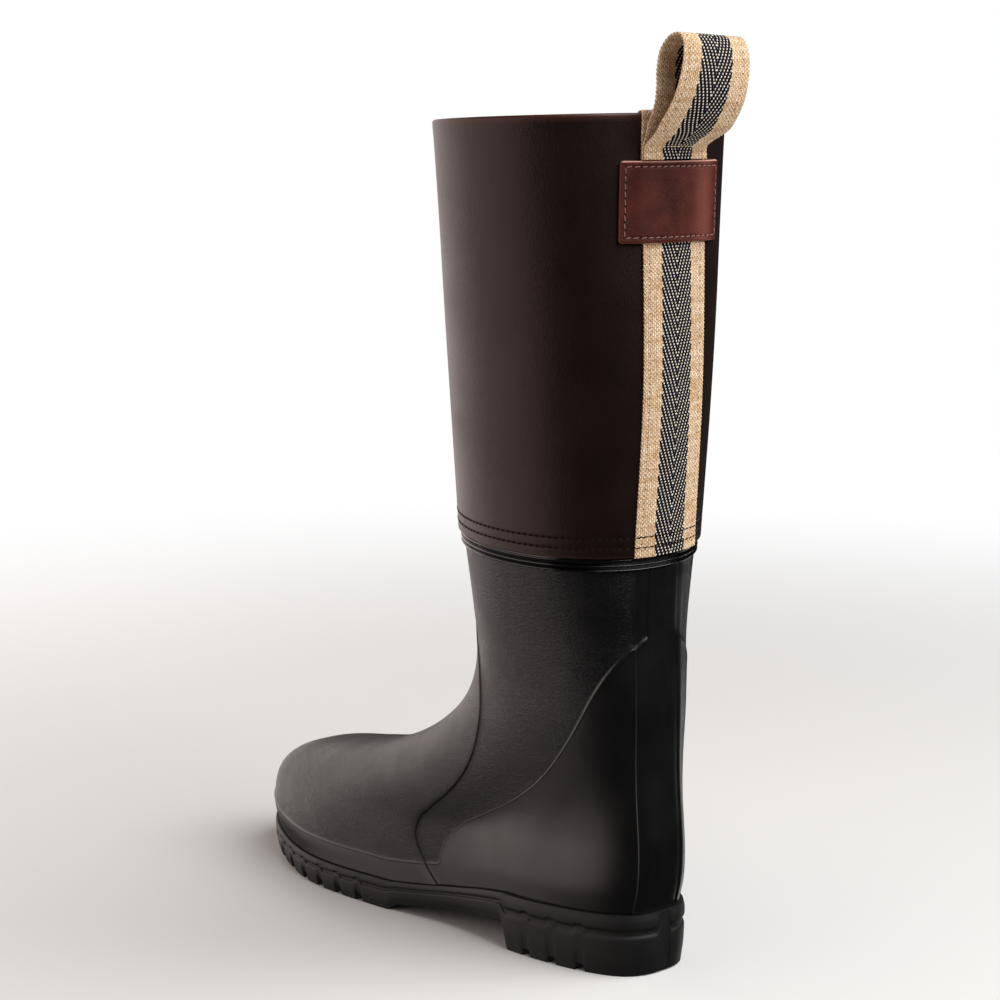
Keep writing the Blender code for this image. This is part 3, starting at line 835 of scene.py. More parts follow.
def weave_height(across, along):
    """Relief of the webbing from 0 to 1: ribs across the selvedges, points in the stripe."""
    beside = np.abs(across - NAVY_SHIFT)
    pick = np.floor(along / POINT_ALONG)
    row = np.cos(2 * math.pi * (along / POINT_ALONG - 0.5))
    point = np.cos(2 * math.pi * (beside / POINT_ACROSS - pick / 4 - POINT_SHIFT)) * row
    rib = np.abs(np.sin(math.pi * along / GRAIN_ALONG)) ** 0.5
    return np.where(beside < NAVY_HALF, 0.5 + 0.5 * point, rib)


def webbing_band(name, face, length, webbing, solid):
    """A length of webbing along a middle face, with its weave as fine relief and scalloped edges."""
    across, lift = round_section(WEBBING_WIDTH, WEBBING_THICK, WEBBING_COLUMNS, UNDER_COLUMNS)
    along = np.arange(0.0, length + WEBBING_ROW / 2, WEBBING_ROW)[:, None]
    across, lift, along = np.broadcast_arrays(across[None, :], lift[None, :], along)
    scallop = SELVEDGE_SCALLOP * np.cos(2 * math.pi * along / GRAIN_ALONG)
    reach = np.abs(across) / (WEBBING_WIDTH / 2)
    woven = across + np.sign(across) * scallop * reach ** SCALLOP_POWER
    relief = WEAVE_RELIEF * (weave_height(across, along) - WEAVE_MIDDLE) * np.sign(lift)
    grid = band_grid(face, woven, along, lift + relief)
    band = lay_sheet(name, grid, np.stack([across, along], axis=-1))
    close_sheet(band, caps=True)
    return finish_piece(band, [webbing], "webbing", solid, sharp=80)


def strap_face(across, along):
    """The middle of the strap's webbing: up the back from the hem, over the rim and down inside."""
    half = LEATHER_WALL / 2
    lift = LAYER_GAP + WEBBING_THICK / 2
    hem = hem_height(back_turn(across, HEM_HEIGHT))
    shoulder = rim_height(back_turn(across, RIM_HEIGHT)) - half
    angle = np.clip((along - STRAP_RUN) / (half + lift), 0.0, math.pi)
    over = STRAP_RUN + math.pi * (half + lift)
    height = np.where(
        along < STRAP_RUN,
        hem + along / STRAP_RUN * (shoulder - hem),
        shoulder + (half + lift) * np.sin(angle) - np.maximum(along - over, 0.0),
    )
    out = np.where(along < STRAP_RUN, lift, -half + (half + lift) * np.cos(angle))
    across = across + STRAP_DRIFT * ease((height - STRAP_DRIFT_START) / STRAP_DRIFT_RUN)
    across = across - STRAP_BOW * bump(height, STRAP_BOW_HEIGHT, STRAP_BOW_TALL)
    return shaft_point(back_turn(across, np.minimum(height, shoulder)), height, out)


STRAP_RUN = float(rim_height(0.0) - LEATHER_WALL / 2 - hem_height(0.0))


def back_strap(webbing):
    """The striped webbing up the back."""
    length = STRAP_RUN + math.pi * (LEATHER_WALL / 2 + LAYER_GAP + WEBBING_THICK / 2) + STRAP_INSIDE
    return webbing_band("back_strap_webbing", strap_face, length, webbing, "back_strap")


def loop_path():
    """The loop's path, with a point every fraction of a millimetre: place in the table, length from
    its start, out and up."""
    place = np.linspace(0, len(LOOP) - 1, LOOP_POINTS)
    out, up = (smooth(column(LOOP, name), place) for name in LoopRow._fields)
    return place, run_length(np.stack([out, up], axis=-1)), out, up


LOOP_PLACE, LOOP_LENGTH, LOOP_OUT, LOOP_UP = loop_path()


def loop_face(across, along):
    """The middle of the loop's webbing, from its outer leg up, over and down its inner leg."""
    back = LOOP_LENGTH[-1] - along
    out = np.interp(back, LOOP_LENGTH, LOOP_OUT)
    up = np.interp(back, LOOP_LENGTH, LOOP_UP)
    sewn = float(rim_height(0.0)) - STITCH_BELOW_RIM
    middle = shaft_point(0.0, sewn, 0.0)
    curve = shaft_point(back_turn(across, sewn), np.full_like(across, sewn), 0.0)[..., 1] - middle[1]
    curve = curve * (1 - (1 - LOOP_CURVE_LEFT) * ease(up / LOOP_CURVE_RUN))
    turn = math.radians(LOOP_TURN) * ease(up / LOOP_TURN_RUN) * np.clip(1 - up / LOOP_TURN_END, 0, 1)
    beside = across + LOOP_SHIFT + STRAP_DRIFT * (1 - ease(up / LOOP_DRIFT_RUN))
    x = beside * np.cos(turn) + (out + curve) * np.sin(turn)
    y = middle[1] - beside * np.sin(turn) + (out + curve) * np.cos(turn)
    return points(x, y, sewn + up + LOOP_LEAN * np.maximum(up, 0.0) * across)


def pull_loop(webbing):
    """The same webbing folded into a teardrop."""
    return webbing_band("pull_loop_webbing", loop_face, float(LOOP_LENGTH[-1]), webbing, "pull_loop")


# The patch.

def patch_face(across, up):
    """The middle of the patch: over the strap, with its ends down on the leather."""
    over = WEBBING_THICK + 2 * LAYER_GAP
    across = across + PATCH_SHIFT
    slope = (np.abs(across) - WEBBING_WIDTH / 2) / PATCH_SLOPE
    lift = over + (LAYER_GAP - over) * ease(slope) + PATCH_THICK / 2
    height = float(rim_height(0.0)) - PATCH_BELOW_RIM - PATCH_HEIGHT + up
    return shaft_point(back_turn(across, height), height, lift)


def patch_seam():
    """The needle's holes once round the patch, as across and up, with one at each corner."""
    half = PATCH_WIDTH / 2 - PATCH_SEAM_INSET
    low = PATCH_SEAM_INSET
    high = PATCH_HEIGHT - PATCH_SEAM_INSET
    corners = np.array([[-half, low], [half, low], [half, high], [-half, high], [-half, low]])
    holes = []
    for start, end in zip(corners[:-1], corners[1:]):
        count = round(np.linalg.norm(end - start) / PATCH_SEAM_PITCH)
        holes += [start + (end - start) * step / count for step in range(count)]
    return np.array(holes)


def leather_patch():
    """The patch: rounded corners and edges, a sunk seam line and pierced holes."""
    columns = int(PATCH_WIDTH / PATCH_ROW)
    across, lift = round_section(PATCH_WIDTH, PATCH_THICK, columns, UNDER_COLUMNS)
    end = PATCH_THICK / 2
    near = end * (1 - np.cos(np.linspace(0.0, math.pi / 2, PATCH_EDGE_STEPS + 1)))
    middle = np.arange(end + PATCH_ROW, PATCH_HEIGHT - end, PATCH_ROW)
    up = np.concatenate([near, middle, (PATCH_HEIGHT - near)[::-1]])[:, None]
    across, lift, up = np.broadcast_arrays(across[None, :], lift[None, :], up)
    from_end = np.minimum(up, PATCH_HEIGHT - up)
    in_corner = np.maximum(PATCH_CORNER - from_end, 0)
    corner = PATCH_CORNER - np.sqrt(np.maximum(0, PATCH_CORNER ** 2 - in_corner ** 2))
    narrowed = across * (1 - corner / (PATCH_WIDTH / 2))
    flatness = np.sqrt(np.maximum(PATCH_EDGE_FLATNESS, 1 - np.maximum(1 - from_end / end, 0) ** 2))
    from_edge = np.minimum(PATCH_WIDTH / 2 - np.abs(across), from_end)
    top = lift > 0
    seam = bump(from_edge, PATCH_SEAM_INSET, PATCH_SEAM_WIDTH)
    away = np.min([np.hypot(across - hole[0], up - hole[1]) for hole in patch_seam()], axis=0)
    pierced = np.where(top, ease(HOLE_SOFTNESS - away / HOLE_RADIUS), 0.0)
    swell = PATCH_SWELL * bump(from_edge, PATCH_SEAM_INSET - SWELL_OUTSIDE_SEAM, SWELL_WIDTH)
    relief = np.where(top, swell - PATCH_SEAM_SINK * seam - HOLE_DEPTH * pierced, 0.0)
    grid = band_grid(patch_face, narrowed, up, lift * flatness + relief)
    marks = {
        # The holes and the seam line, painted dark as shade.
        "pierced": np.maximum(pierced, SEAM_SHADE * seam * top),
        "edge": 1 - ease((from_edge - BURNISH_START) / BURNISH_RUN),
        # A painted highlight along the top edge.
        "top_edge_highlight": 1 - ease((PATCH_HEIGHT - up - TOP_HIGHLIGHT_START) / TOP_HIGHLIGHT_RUN),
        # Lighter over the strap's edge: partly rubbed, partly painted highlight.
        "rubbed_and_highlight": bump(across + PATCH_SHIFT, RUBBED_HIGHLIGHT_PLACE, RUBBED_HIGHLIGHT_WIDTH),
    }
    patch = lay_sheet("patch_leather_piece", grid, np.stack([across, up], axis=-1), marks)
    close_sheet(patch, caps=True)
    return finish_piece(patch, [patch_leather()], "patch_leather", "patch", sharp=70)


# Stitches.

def one_stitch(stitch):
    """A single stitch as a slim bead of thread lying along X, its ends dipping into the work."""
    bpy.ops.object.select_all(action="DESELECT")
    bpy.ops.mesh.primitive_uv_sphere_add(segments=STITCH_SIDES, ring_count=STITCH_SIDES, radius=0.5)
    bead = bpy.context.active_object
    size = (stitch.length, stitch.width, stitch.height)
    bpy.ops.object.mode_set(mode="EDIT")
    bpy.ops.mesh.select_all(action="SELECT")
    bpy.ops.transform.rotate(value=math.pi / 2, orient_axis="Y", center_override=(0, 0, 0))
    bpy.ops.transform.resize(value=size, center_override=(0, 0, 0))
    bpy.ops.object.mode_set(mode="OBJECT")
    for vertex in bead.data.vertices:
        vertex.co.z -= STITCH_DIP * stitch.height * (2 * vertex.co.x / stitch.length) ** 2
    return bead


def sew(name, stitch, places, along, out, thread, slot):
    """A seam: one stitch copied to every place, all joined in one mesh."""
    bead = one_stitch(stitch)
    model = np.array([vertex.co for vertex in bead.data.vertices])
    faces = [list(face.vertices) for face in bead.data.polygons]
    bpy.data.objects.remove(bead)
    slant = math.radians(stitch.slant)
    out = unit(out)
    along = unit(along - out * np.sum(along * out, axis=1, keepdims=True))
    lie = math.cos(slant) * along + math.sin(slant) * np.cross(out, along)
    cloud = places[:, None] + np.einsum("vk,kpc->pvc", model, [lie, np.cross(out, lie), out])
    count = len(model)
    joined = [[v + k * count for v in face] for k in range(len(places)) for face in faces]
    mesh = bpy.data.meshes.new(name)
    mesh.from_pydata(((cloud.reshape(-1, 3) + TO_FRAME) * MM).tolist(), [], joined)
    seam = bpy.data.objects.new(name, mesh)
    bpy.context.scene.collection.objects.link(seam)
    return finish_piece(seam, [thread], slot, sharp=80)


def hem_seams():
    """Two rows of dark thread round the hem, which run over the strap as well with hardly a gap."""
    fine = np.linspace(0.0, 2 * math.pi, HEM_POINTS)
    over_strap = LAYER_GAP + WEBBING_THICK + STRAP_HEM_STITCH.lift
    places, along, out, strapped = [], [], [], []
    for row in HEM_STITCH_ROWS:
        length = run_length(shaft_point(fine, hem_height(fine) + row, 0.0))
        count = int(round(length[-1] / HEM_STITCH_PITCH))
        turn = np.interp((np.arange(count) + 0.5) * length[-1] / count, length, fine)
        ahead = turn + HEM_STEP
        on_strap = np.abs(wrapped(turn)) < back_turn(WEBBING_WIDTH / 2, HEM_HEIGHT)
        lift = np.where(on_strap, over_strap, HEM_STITCH.lift)
        places.append(shaft_point(turn, hem_height(turn) + row, lift))
        along.append(shaft_point(ahead, hem_height(ahead) + row, lift) - places[-1])
        out.append(shaft_point(turn, hem_height(turn) + row, lift + 1.0) - places[-1])
        strapped.append(on_strap)
    places, along, out, strapped = (np.concatenate(part) for part in (places, along, out, strapped))
    thread = waxed_thread("waxed brown thread", "#080201", "#2c1209")
    seams = (
        ("hem_seams", HEM_STITCH, ~strapped, "shaft_leather"),
        ("strap_hem_seams", STRAP_HEM_STITCH, strapped, "webbing"),
    )
    for name, stitch, here, slot in seams:
        sew(name, stitch, places[here], along[here], out[here], thread, slot)


def patch_stitches():
    """The patch's seam: thin pale brown thread from hole to hole."""
    holes = patch_seam()
    ends = np.roll(holes, -1, axis=0)
    across, up = ((holes + ends) / 2).T
    sideways, forwards, out = face_directions(patch_face, across, up)
    places = patch_face(across, up) + out * (PATCH_THICK / 2 - PATCH_SEAM_SINK + PATCH_STITCH.lift)
    run = unit(ends - holes)
    along = run[:, :1] * sideways + run[:, 1:] * forwards
    thread = waxed_thread("waxed rosewood thread", "#85564b", "#c49a8e")
    return sew("patch_seam", PATCH_STITCH, places, along, out, thread, "patch_leather")


def strap_seams():
    """Beige thread along both edges of the strap and across the foot of the loop."""
    count = int(STRAP_RUN / STRAP_SEAM_PITCH)
    up = (np.arange(count) + 0.5) * STRAP_SEAM_PITCH
    inset = WEBBING_WIDTH / 2 - STRAP_SEAM_INSET
    places, along, outs = [], [], []
    for side in (-1, 1):
        across = np.full(count, side * inset)
        sideways, forwards, out = face_directions(strap_face, across, up)
        places.append(strap_face(across, up) + out * (WEBBING_THICK / 2 + STRAP_STITCH.lift))
        along.append(forwards)
        outs.append(out)
    across = np.arange(-LOOP_SEAM_HALF, LOOP_SEAM_HALF + LOOP_SEAM_PITCH / 2, LOOP_SEAM_PITCH)
    sewn = LOOP_LENGTH[-1] - np.interp(LOOP_SEWN_ROW, LOOP_PLACE, LOOP_LENGTH) + LOOP_SEAM_DROP
    sewn = np.full(len(across), sewn)
    sideways, forwards, out = face_directions(loop_face, across, sewn)
    places.append(loop_face(across, sewn) + out * (WEBBING_THICK / 2 + LOOP_STITCH_LIFT))
    along.append(sideways)
    outs.append(out)
    places, along, outs = (np.concatenate(part) for part in (places, along, outs))
    thread = waxed_thread("beige cotton thread", "#c8ab7c", "#e0c79c")
    return sew("strap_seams", STRAP_STITCH, places, along, outs, thread, "webbing")


# The sole and insole.

def edge_point(turn, out):
    """A plan point of the footprint's edge, moved outwards by out, at the sole's top."""
    around = foot_point(turn + SMALL, 0.0) - foot_point(turn - SMALL, 0.0)
    normal = np.array([-around[1], around[0], 0.0])
    place = foot_point(turn, 0.0) + out * normal / np.linalg.norm(normal)
    place[2] -= GAP
    return place


def lug_stations():
    """Stations along the sole with a flag where a groove is cut."""
    stations = []
    for start, count in (HEEL_LUGS, FOREFOOT_LUGS):
        for lug in range(count - 1):
            groove = start + LUG_PITCH * (lug + 1) - LUG_GROOVE
            stations.append((groove, 0.0))
            stations.append((groove + LUG_WALL, 1.0))
            stations.append((groove + LUG_GROOVE - LUG_WALL, 1.0))
            stations.append((groove + LUG_GROOVE, 0.0))
    return stations


def sole_stations():
    """Fine stations, heel to toe, as a turn and how far a groove is cut there."""
    feather = FOOT_RINGS[0]
    middle = (feather.front_y + feather.back_y) / 2
    half = (feather.back_y - feather.front_y) / 2
    stations = lug_stations() + [(row.y, 0.0) for row in SOLE[1:-1]]
    marked = sorted((math.acos((y - middle) / half), groove) for y, groove in stations)
    tips = [SOLE_TIP + TIP_REACH * (step / TIP_STATIONS) ** TIP_CROWDING for step in range(TIP_STATIONS)]
    heel = [(tip, 0.0) for tip in tips if tip < marked[0][0] - TIP_CLEAR]
    toe = [(math.pi - tip, 0.0) for tip in tips[::-1] if math.pi - tip > marked[-1][0] + TIP_CLEAR]
    coarse = heel + marked + toe
    fine = []
    for (turn, groove), (next_turn, next_groove) in zip(coarse[:-1], coarse[1:]):
        pieces = max(1, math.ceil(half * abs(math.cos(turn) - math.cos(next_turn)) / SOLE_STEP))
        for share in np.arange(pieces) / pieces:
            fine.append((turn + share * (next_turn - turn), groove + share * (next_groove - groove)))
    return fine + [coarse[-1]]


def rounded(profile, radius):
    """A profile with every inner corner cut by a small arc; radius is a share of its sides."""
    soft = [profile[0]]
    for before, here, after in zip(profile[:-2], profile[1:-1], profile[2:]):
        before, here, after = (np.array(row, float) for row in (before, here, after))
        first = here + (before - here) * radius / 2
        last = here + (after - here) * radius / 2
        soft += [first, (first + 2 * here + last) / 4, last]
    return soft + [profile[-1]]


def outsole():
    """The sole as sections from heel to toe, each a loop round top, sides and tread."""
    side_rows = rounded(SOLE_SIDE, SOLE_ROUND)
    rings = []
    for turn, groove in sole_stations():
        sides = []
        for side in (1, -1):
            rows = []
            for down, out in side_rows:
                place = edge_point(side * turn, out)
                low = sole_bottom(place[1]) + groove * LUG_DEPTH
                place[2] += down * (low - place[2])
                rows.append(place)
            sides.append(rows)
        outer, inner = sides
        taper = math.sin(turn) ** 2
        tread = []
        for share in np.linspace(0, 1, TREAD_COLUMNS + 1)[1:-1]:
            place = outer[-1] + share * (inner[-1] - outer[-1])
            place[1] -= CHEVRON * taper * (1 - abs(2 * share - 1))
            tread.append(place)
        shares = np.linspace(0, 1, SOLE_TOP_COLUMNS + 1)[1:]
        top = [inner[0] + share * (outer[0] - inner[0]) for share in shares]
        rings.append(np.array(outer + tread + inner[::-1] + top))
    grid = np.array(rings)
    sole = lay_sheet("outsole_rubber", grid, flat_cut(grid))
    close_sheet(sole, caps=True)
    return finish_piece(sole, [sole_rubber()], "sole_rubber", "outsole", sharp=35)


def insole():
    """The insole: a cloth-covered sheet with soft edges."""
    rows = []
    for turn in np.linspace(2 * SOLE_TIP, math.pi - 2 * SOLE_TIP, INSOLE_STATIONS):
        outer, inner = (edge_point(side * turn, -INSOLE_INSET) for side in (1, -1))
        shares = np.linspace(0, 1, INSOLE_COLUMNS + 1)[:, None]
        rows.append(outer + shares * (inner - outer) + np.array([0.0, 0.0, GAP]))
    grid = np.array(rows)
    sheet = lay_sheet("insole_cloth_sheet", grid, flat_cut(grid))
    apply_modifier(sheet, "SOLIDIFY", thickness=INSOLE_THICK * MM, offset=1.0, use_even_offset=True)
    apply_modifier(sheet, "BEVEL", width=INSOLE_BEVEL * MM, segments=3, limit_method="ANGLE",
                   angle_limit=math.radians(INSOLE_BEVEL_ANGLE))
    return finish_piece(sheet, [felted_cloth()], "insole_cloth", "insole", sharp=40)


# Finishes.

FLAT = {"noise_dimensions": "2D"}
COLOUR = {"data_type": "RGBA"}
SOFT = {"interpolation_type": "SMOOTHSTEP"}


def linear(hex_colour):
    """A colour from its sRGB hex value."""
    parts = [int(hex_colour[k:k + 2], 16) / 255 for k in (1, 3, 5)]
    return (*[c / 12.92 if c <= 0.04045 else ((c + 0.055) / 1.055) ** 2.4 for c in parts], 1.0)


def feed(tree, socket, value):
    """Set a socket to a value, or link another node's output to it."""
    if isinstance(value, bpy.types.NodeSocket):
        tree.links.new(value, socket)
    else:
        socket.default_value = value


def node(tree, kind, inputs=None, out=None, **settings):
    """Add a node with its settings and links; an input is a value or another node's output. Gives the
    output called out, or else the first one in use."""
    new = tree.nodes.new("ShaderNode" + kind)
    for setting, value in settings.items():
        setattr(new, setting, value)
    in_use = [socket for socket in new.inputs if socket.enabled]
    for name, value in (inputs or {}).items():
        found = in_use[name] if isinstance(name, int) else next(s for s in in_use if s.name == name)
        feed(tree, found, value)
    return new.outputs[out] if out else next(socket for socket in new.outputs if socket.enabled)


def finish(name):
    """A new material and its nodes."""
    material = bpy.data.materials.new(name)
    material.use_nodes = True
    return material, material.node_tree


def surface(tree, **sockets):
    """Set or link the sockets of a material's shader."""
    shader = tree.nodes["Principled BSDF"]
    for name, value in sockets.items():
        feed(tree, shader.inputs[name.replace("_", " ")], value)


def moulded_rubber():
    """Black rubber from a mould: a soft sheen, with a leather-like crinkle on the side panels and a
    smooth stay, counter and beads."""
    material, tree = finish("moulded black rubber")
    cut = node(tree, "UVMap")
    grain = node(tree, "Attribute", out="Fac", attribute_name="grain")
    beaded = node(tree, "Attribute", out="Fac", attribute_name="beaded")
    # Wrinkles about 0.5 mm apart and 1.8 mm long, wandering over 8 mm.
    wrinkle_place = node(tree, "Mapping", {"Vector": cut, "Scale": (0.55, 1.9, 1.0)})
    wander = node(tree, "TexNoise", {"Vector": cut, "Scale": 0.12, "Detail": 2.0}, out="Color", **FLAT)
    wander = node(tree, "VectorMath", {0: wander, "Scale": 1.2}, operation="SCALE")
    wrinkle_place = node(tree, "VectorMath", {0: wrinkle_place, 1: wander}, operation="ADD")
    wrinkle = node(tree, "TexNoise", {"Vector": wrinkle_place, "Scale": 1.0, "Detail": 3.0,
                                      "Roughness": 0.6, "Distortion": 0.35}, **FLAT)
    folds = node(tree, "MapRange", {"Value": wrinkle, "From Min": 0.32, "From Max": 0.62}, **SOFT)
    folds = node(tree, "Math", {0: folds, 1: grain}, operation="MULTIPLY")
    # Pores of the mould's skin, about 0.4 mm.
    pores = node(tree, "TexNoise", {"Vector": cut, "Scale": 2.4, "Detail": 2.0}, **FLAT)
    height = node(tree, "Math", {0: pores, 1: 0.16, 2: folds}, operation="MULTIPLY_ADD")
    relief = node(tree, "Bump", {"Height": height, "Strength": 0.9, "Distance": 0.0002})
    # Gloss that drifts over 20 mm, duller on the crinkle and brighter on the beads.
    gloss = node(tree, "TexNoise", {"Vector": cut, "Scale": 0.05, "Detail": 3.0}, **FLAT)
    rough = node(tree, "MapRange", {"Value": gloss, "From Min": 0.3, "From Max": 0.7,
                                    "To Min": 0.30, "To Max": 0.38})
    for mark, duller in ((grain, 0.10), (beaded, -0.18)):
        rough = node(tree, "Math", {0: mark, 1: duller, 2: rough}, operation="MULTIPLY_ADD")
    shade = node(tree, "Mix", {"Factor": gloss, "A": linear("#050404"), "B": linear("#080706")}, **COLOUR)
    surface(tree, Specular_IOR_Level=0.8, Base_Color=shade, Roughness=rough, Normal=relief)
    return material


def sole_rubber():
    """Matt black rubber of a pressed sole, a little dusty and pitted."""
    material, tree = finish("pressed black sole rubber")
    place = node(tree, "TexCoord", out="Object")
    # Pits about 0.6 mm across, and a cloudiness a few centimetres wide.
    pits = node(tree, "TexNoise", {"Vector": place, "Scale": 1600.0, "Detail": 3.0})
    cloud = node(tree, "TexNoise", {"Vector": place, "Scale": 35.0, "Detail": 4.0})
    shade = node(tree, "Mix", {"Factor": cloud, "A": linear("#0d0d0d"), "B": linear("#171716")}, **COLOUR)
    rough = node(tree, "MapRange", {"Value": cloud, "From Min": 0.3, "From Max": 0.7,
                                    "To Min": 0.5, "To Max": 0.66})
    relief = node(tree, "Bump", {"Height": pits, "Strength": 0.25, "Distance": 0.00015})
    surface(tree, Specular_IOR_Level=0.45, Base_Color=shade, Roughness=rough, Normal=relief)
    return material


def cotton_lining():
    """Knitted cotton bonded inside the rubber: dull grey with fine ribs."""
    material, tree = finish("bonded cotton lining")
    cut = node(tree, "UVMap")
    # Knit ribs 1.2 mm apart, with fluff of 0.7 mm.
    ribs = node(tree, "TexWave", {"Vector": cut, "Scale": 0.26, "Distortion": 1.2, "Detail": 2.0},
                out="Fac", bands_direction="X")
    fluff = node(tree, "TexNoise", {"Vector": cut, "Scale": 1.5, "Detail": 3.0})
    shade = node(tree, "Mix", {"Factor": ribs, "A": linear("#2e2b29"), "B": linear("#4a4642")}, **COLOUR)
    height = node(tree, "Math", {0: ribs, 1: fluff}, operation="ADD")
    relief = node(tree, "Bump", {"Height": height, "Strength": 0.5, "Distance": 0.0003})
    surface(tree, Roughness=0.95, Sheen_Weight=0.2, Base_Color=shade, Normal=relief)
    return material


def smooth_leather():
    """Waxed full-grain calf: very dark brown with a soft sheen, fine pores, hair-fine creases, a
    redder edge where it is turned or cut, and painted shade along the hem's stitch lines."""
    material, tree = finish("waxed brown calf leather")
    cut = node(tree, "UVMap")
    worn = node(tree, "Attribute", out="Fac", attribute_name="worn")
    sewn = node(tree, "Attribute", out="Fac", attribute_name="sewn")
    # Clouds of the dye, about 30 mm wide.
    cloud = node(tree, "TexNoise", {"Vector": cut, "Scale": 0.03, "Detail": 4.0}, **FLAT)
    # Fibres run up the shaft, wavering: about 0.4 mm wide and 2.5 mm long.
    waver = node(tree, "TexNoise", {"Vector": cut, "Scale": 0.035, "Detail": 1.0}, out="Color", **FLAT)
    waver = node(tree, "VectorMath", {0: waver, "Scale": 10.0}, operation="SCALE")
    fibre_place = node(tree, "VectorMath", {0: cut, 1: waver}, operation="ADD")
    fibre_place = node(tree, "Mapping", {"Vector": fibre_place, "Scale": (2.4, 0.4, 1.0)})
    fibres = node(tree, "TexNoise", {"Vector": fibre_place, "Scale": 1.0, "Detail": 4.0,
                                     "Distortion": 0.5}, **FLAT)
    # Creases across the shaft, 1 mm apart, only in patches about 45 mm wide.
    crease_place = node(tree, "Mapping", {"Vector": cut, "Scale": (0.16, 0.95, 1.0),
                                          "Rotation": (0, 0, -0.12)})
    creases = node(tree, "TexNoise", {"Vector": crease_place, "Scale": 1.0, "Detail": 3.0,
                                      "Distortion": 0.6}, **FLAT)
    where = node(tree, "TexNoise", {"Vector": cut, "Scale": 0.022, "Detail": 1.0, "Distortion": 0.4}, **FLAT)
    where = node(tree, "MapRange", {"Value": where, "From Min": 0.52, "From Max": 0.66}, **SOFT)
    creases = node(tree, "Math", {0: creases, 1: where}, operation="MULTIPLY")
    # Pores about 0.5 mm apart.
    pores = node(tree, "TexVoronoi", {"Vector": cut, "Scale": 1.9, "Randomness": 1.0},
                 voronoi_dimensions="2D")
    height = node(tree, "Math", {0: fibres, 1: creases}, operation="ADD")
    height = node(tree, "Math", {0: pores, 1: 0.18, 2: height}, operation="MULTIPLY_ADD")
    relief = node(tree, "Bump", {"Height": height, "Strength": 0.45, "Distance": 0.0002})
    shade = node(tree, "Mix", {"Factor": cloud, "A": linear("#0d0604"), "B": linear("#180a07")}, **COLOUR)
    # A redder edge where worn, and painted shade along the hem's stitch lines.
    for mark, colour in ((worn, "#4a251b"), (sewn, "#050201")):
        shade = node(tree, "Mix", {"Factor": mark, "A": shade, "B": linear(colour)}, **COLOUR)
    rough = node(tree, "MapRange", {"Value": cloud, "From Min": 0.3, "From Max": 0.7,
                                    "To Min": 0.33, "To Max": 0.40})
    for mark, duller in ((fibres, 0.08), (sewn, 0.5)):
        rough = node(tree, "Math", {0: mark, 1: duller, 2: rough}, operation="MULTIPLY_ADD")
    surface(tree, Specular_IOR_Level=0.5, Specular_Tint=(1.0, 0.76, 0.70, 1.0),
            Base_Color=shade, Roughness=rough, Normal=relief)
    return material


def leather_flesh():
    """The shaft's inside: the leather's own brushed flesh side, dull and a little lighter."""
    material, tree = finish("brushed leather flesh side")
    cut = node(tree, "UVMap")
    # Nap about 0.6 mm wide and 1.5 mm long, brushed in patches of 25 mm.
    nap_place = node(tree, "Mapping", {"Vector": cut, "Scale": (1.2, 0.5, 1.0)})
    nap = node(tree, "TexNoise", {"Vector": nap_place, "Scale": 1.3, "Detail": 5.0}, **FLAT)
    brush = node(tree, "TexNoise", {"Vector": cut, "Scale": 0.04, "Detail": 3.0}, **FLAT)
    tone = node(tree, "Math", {0: nap, 1: 0.4, 2: brush}, operation="MULTIPLY_ADD")
    shade = node(tree, "Mix", {"Factor": tone, "A": linear("#4a3122"), "B": linear("#7a583e")}, **COLOUR)
    relief = node(tree, "Bump", {"Height": nap, "Strength": 0.5, "Distance": 0.0003})
    surface(tree, Roughness=0.92, Sheen_Weight=0.25, Base_Color=shade, Normal=relief)
    return material


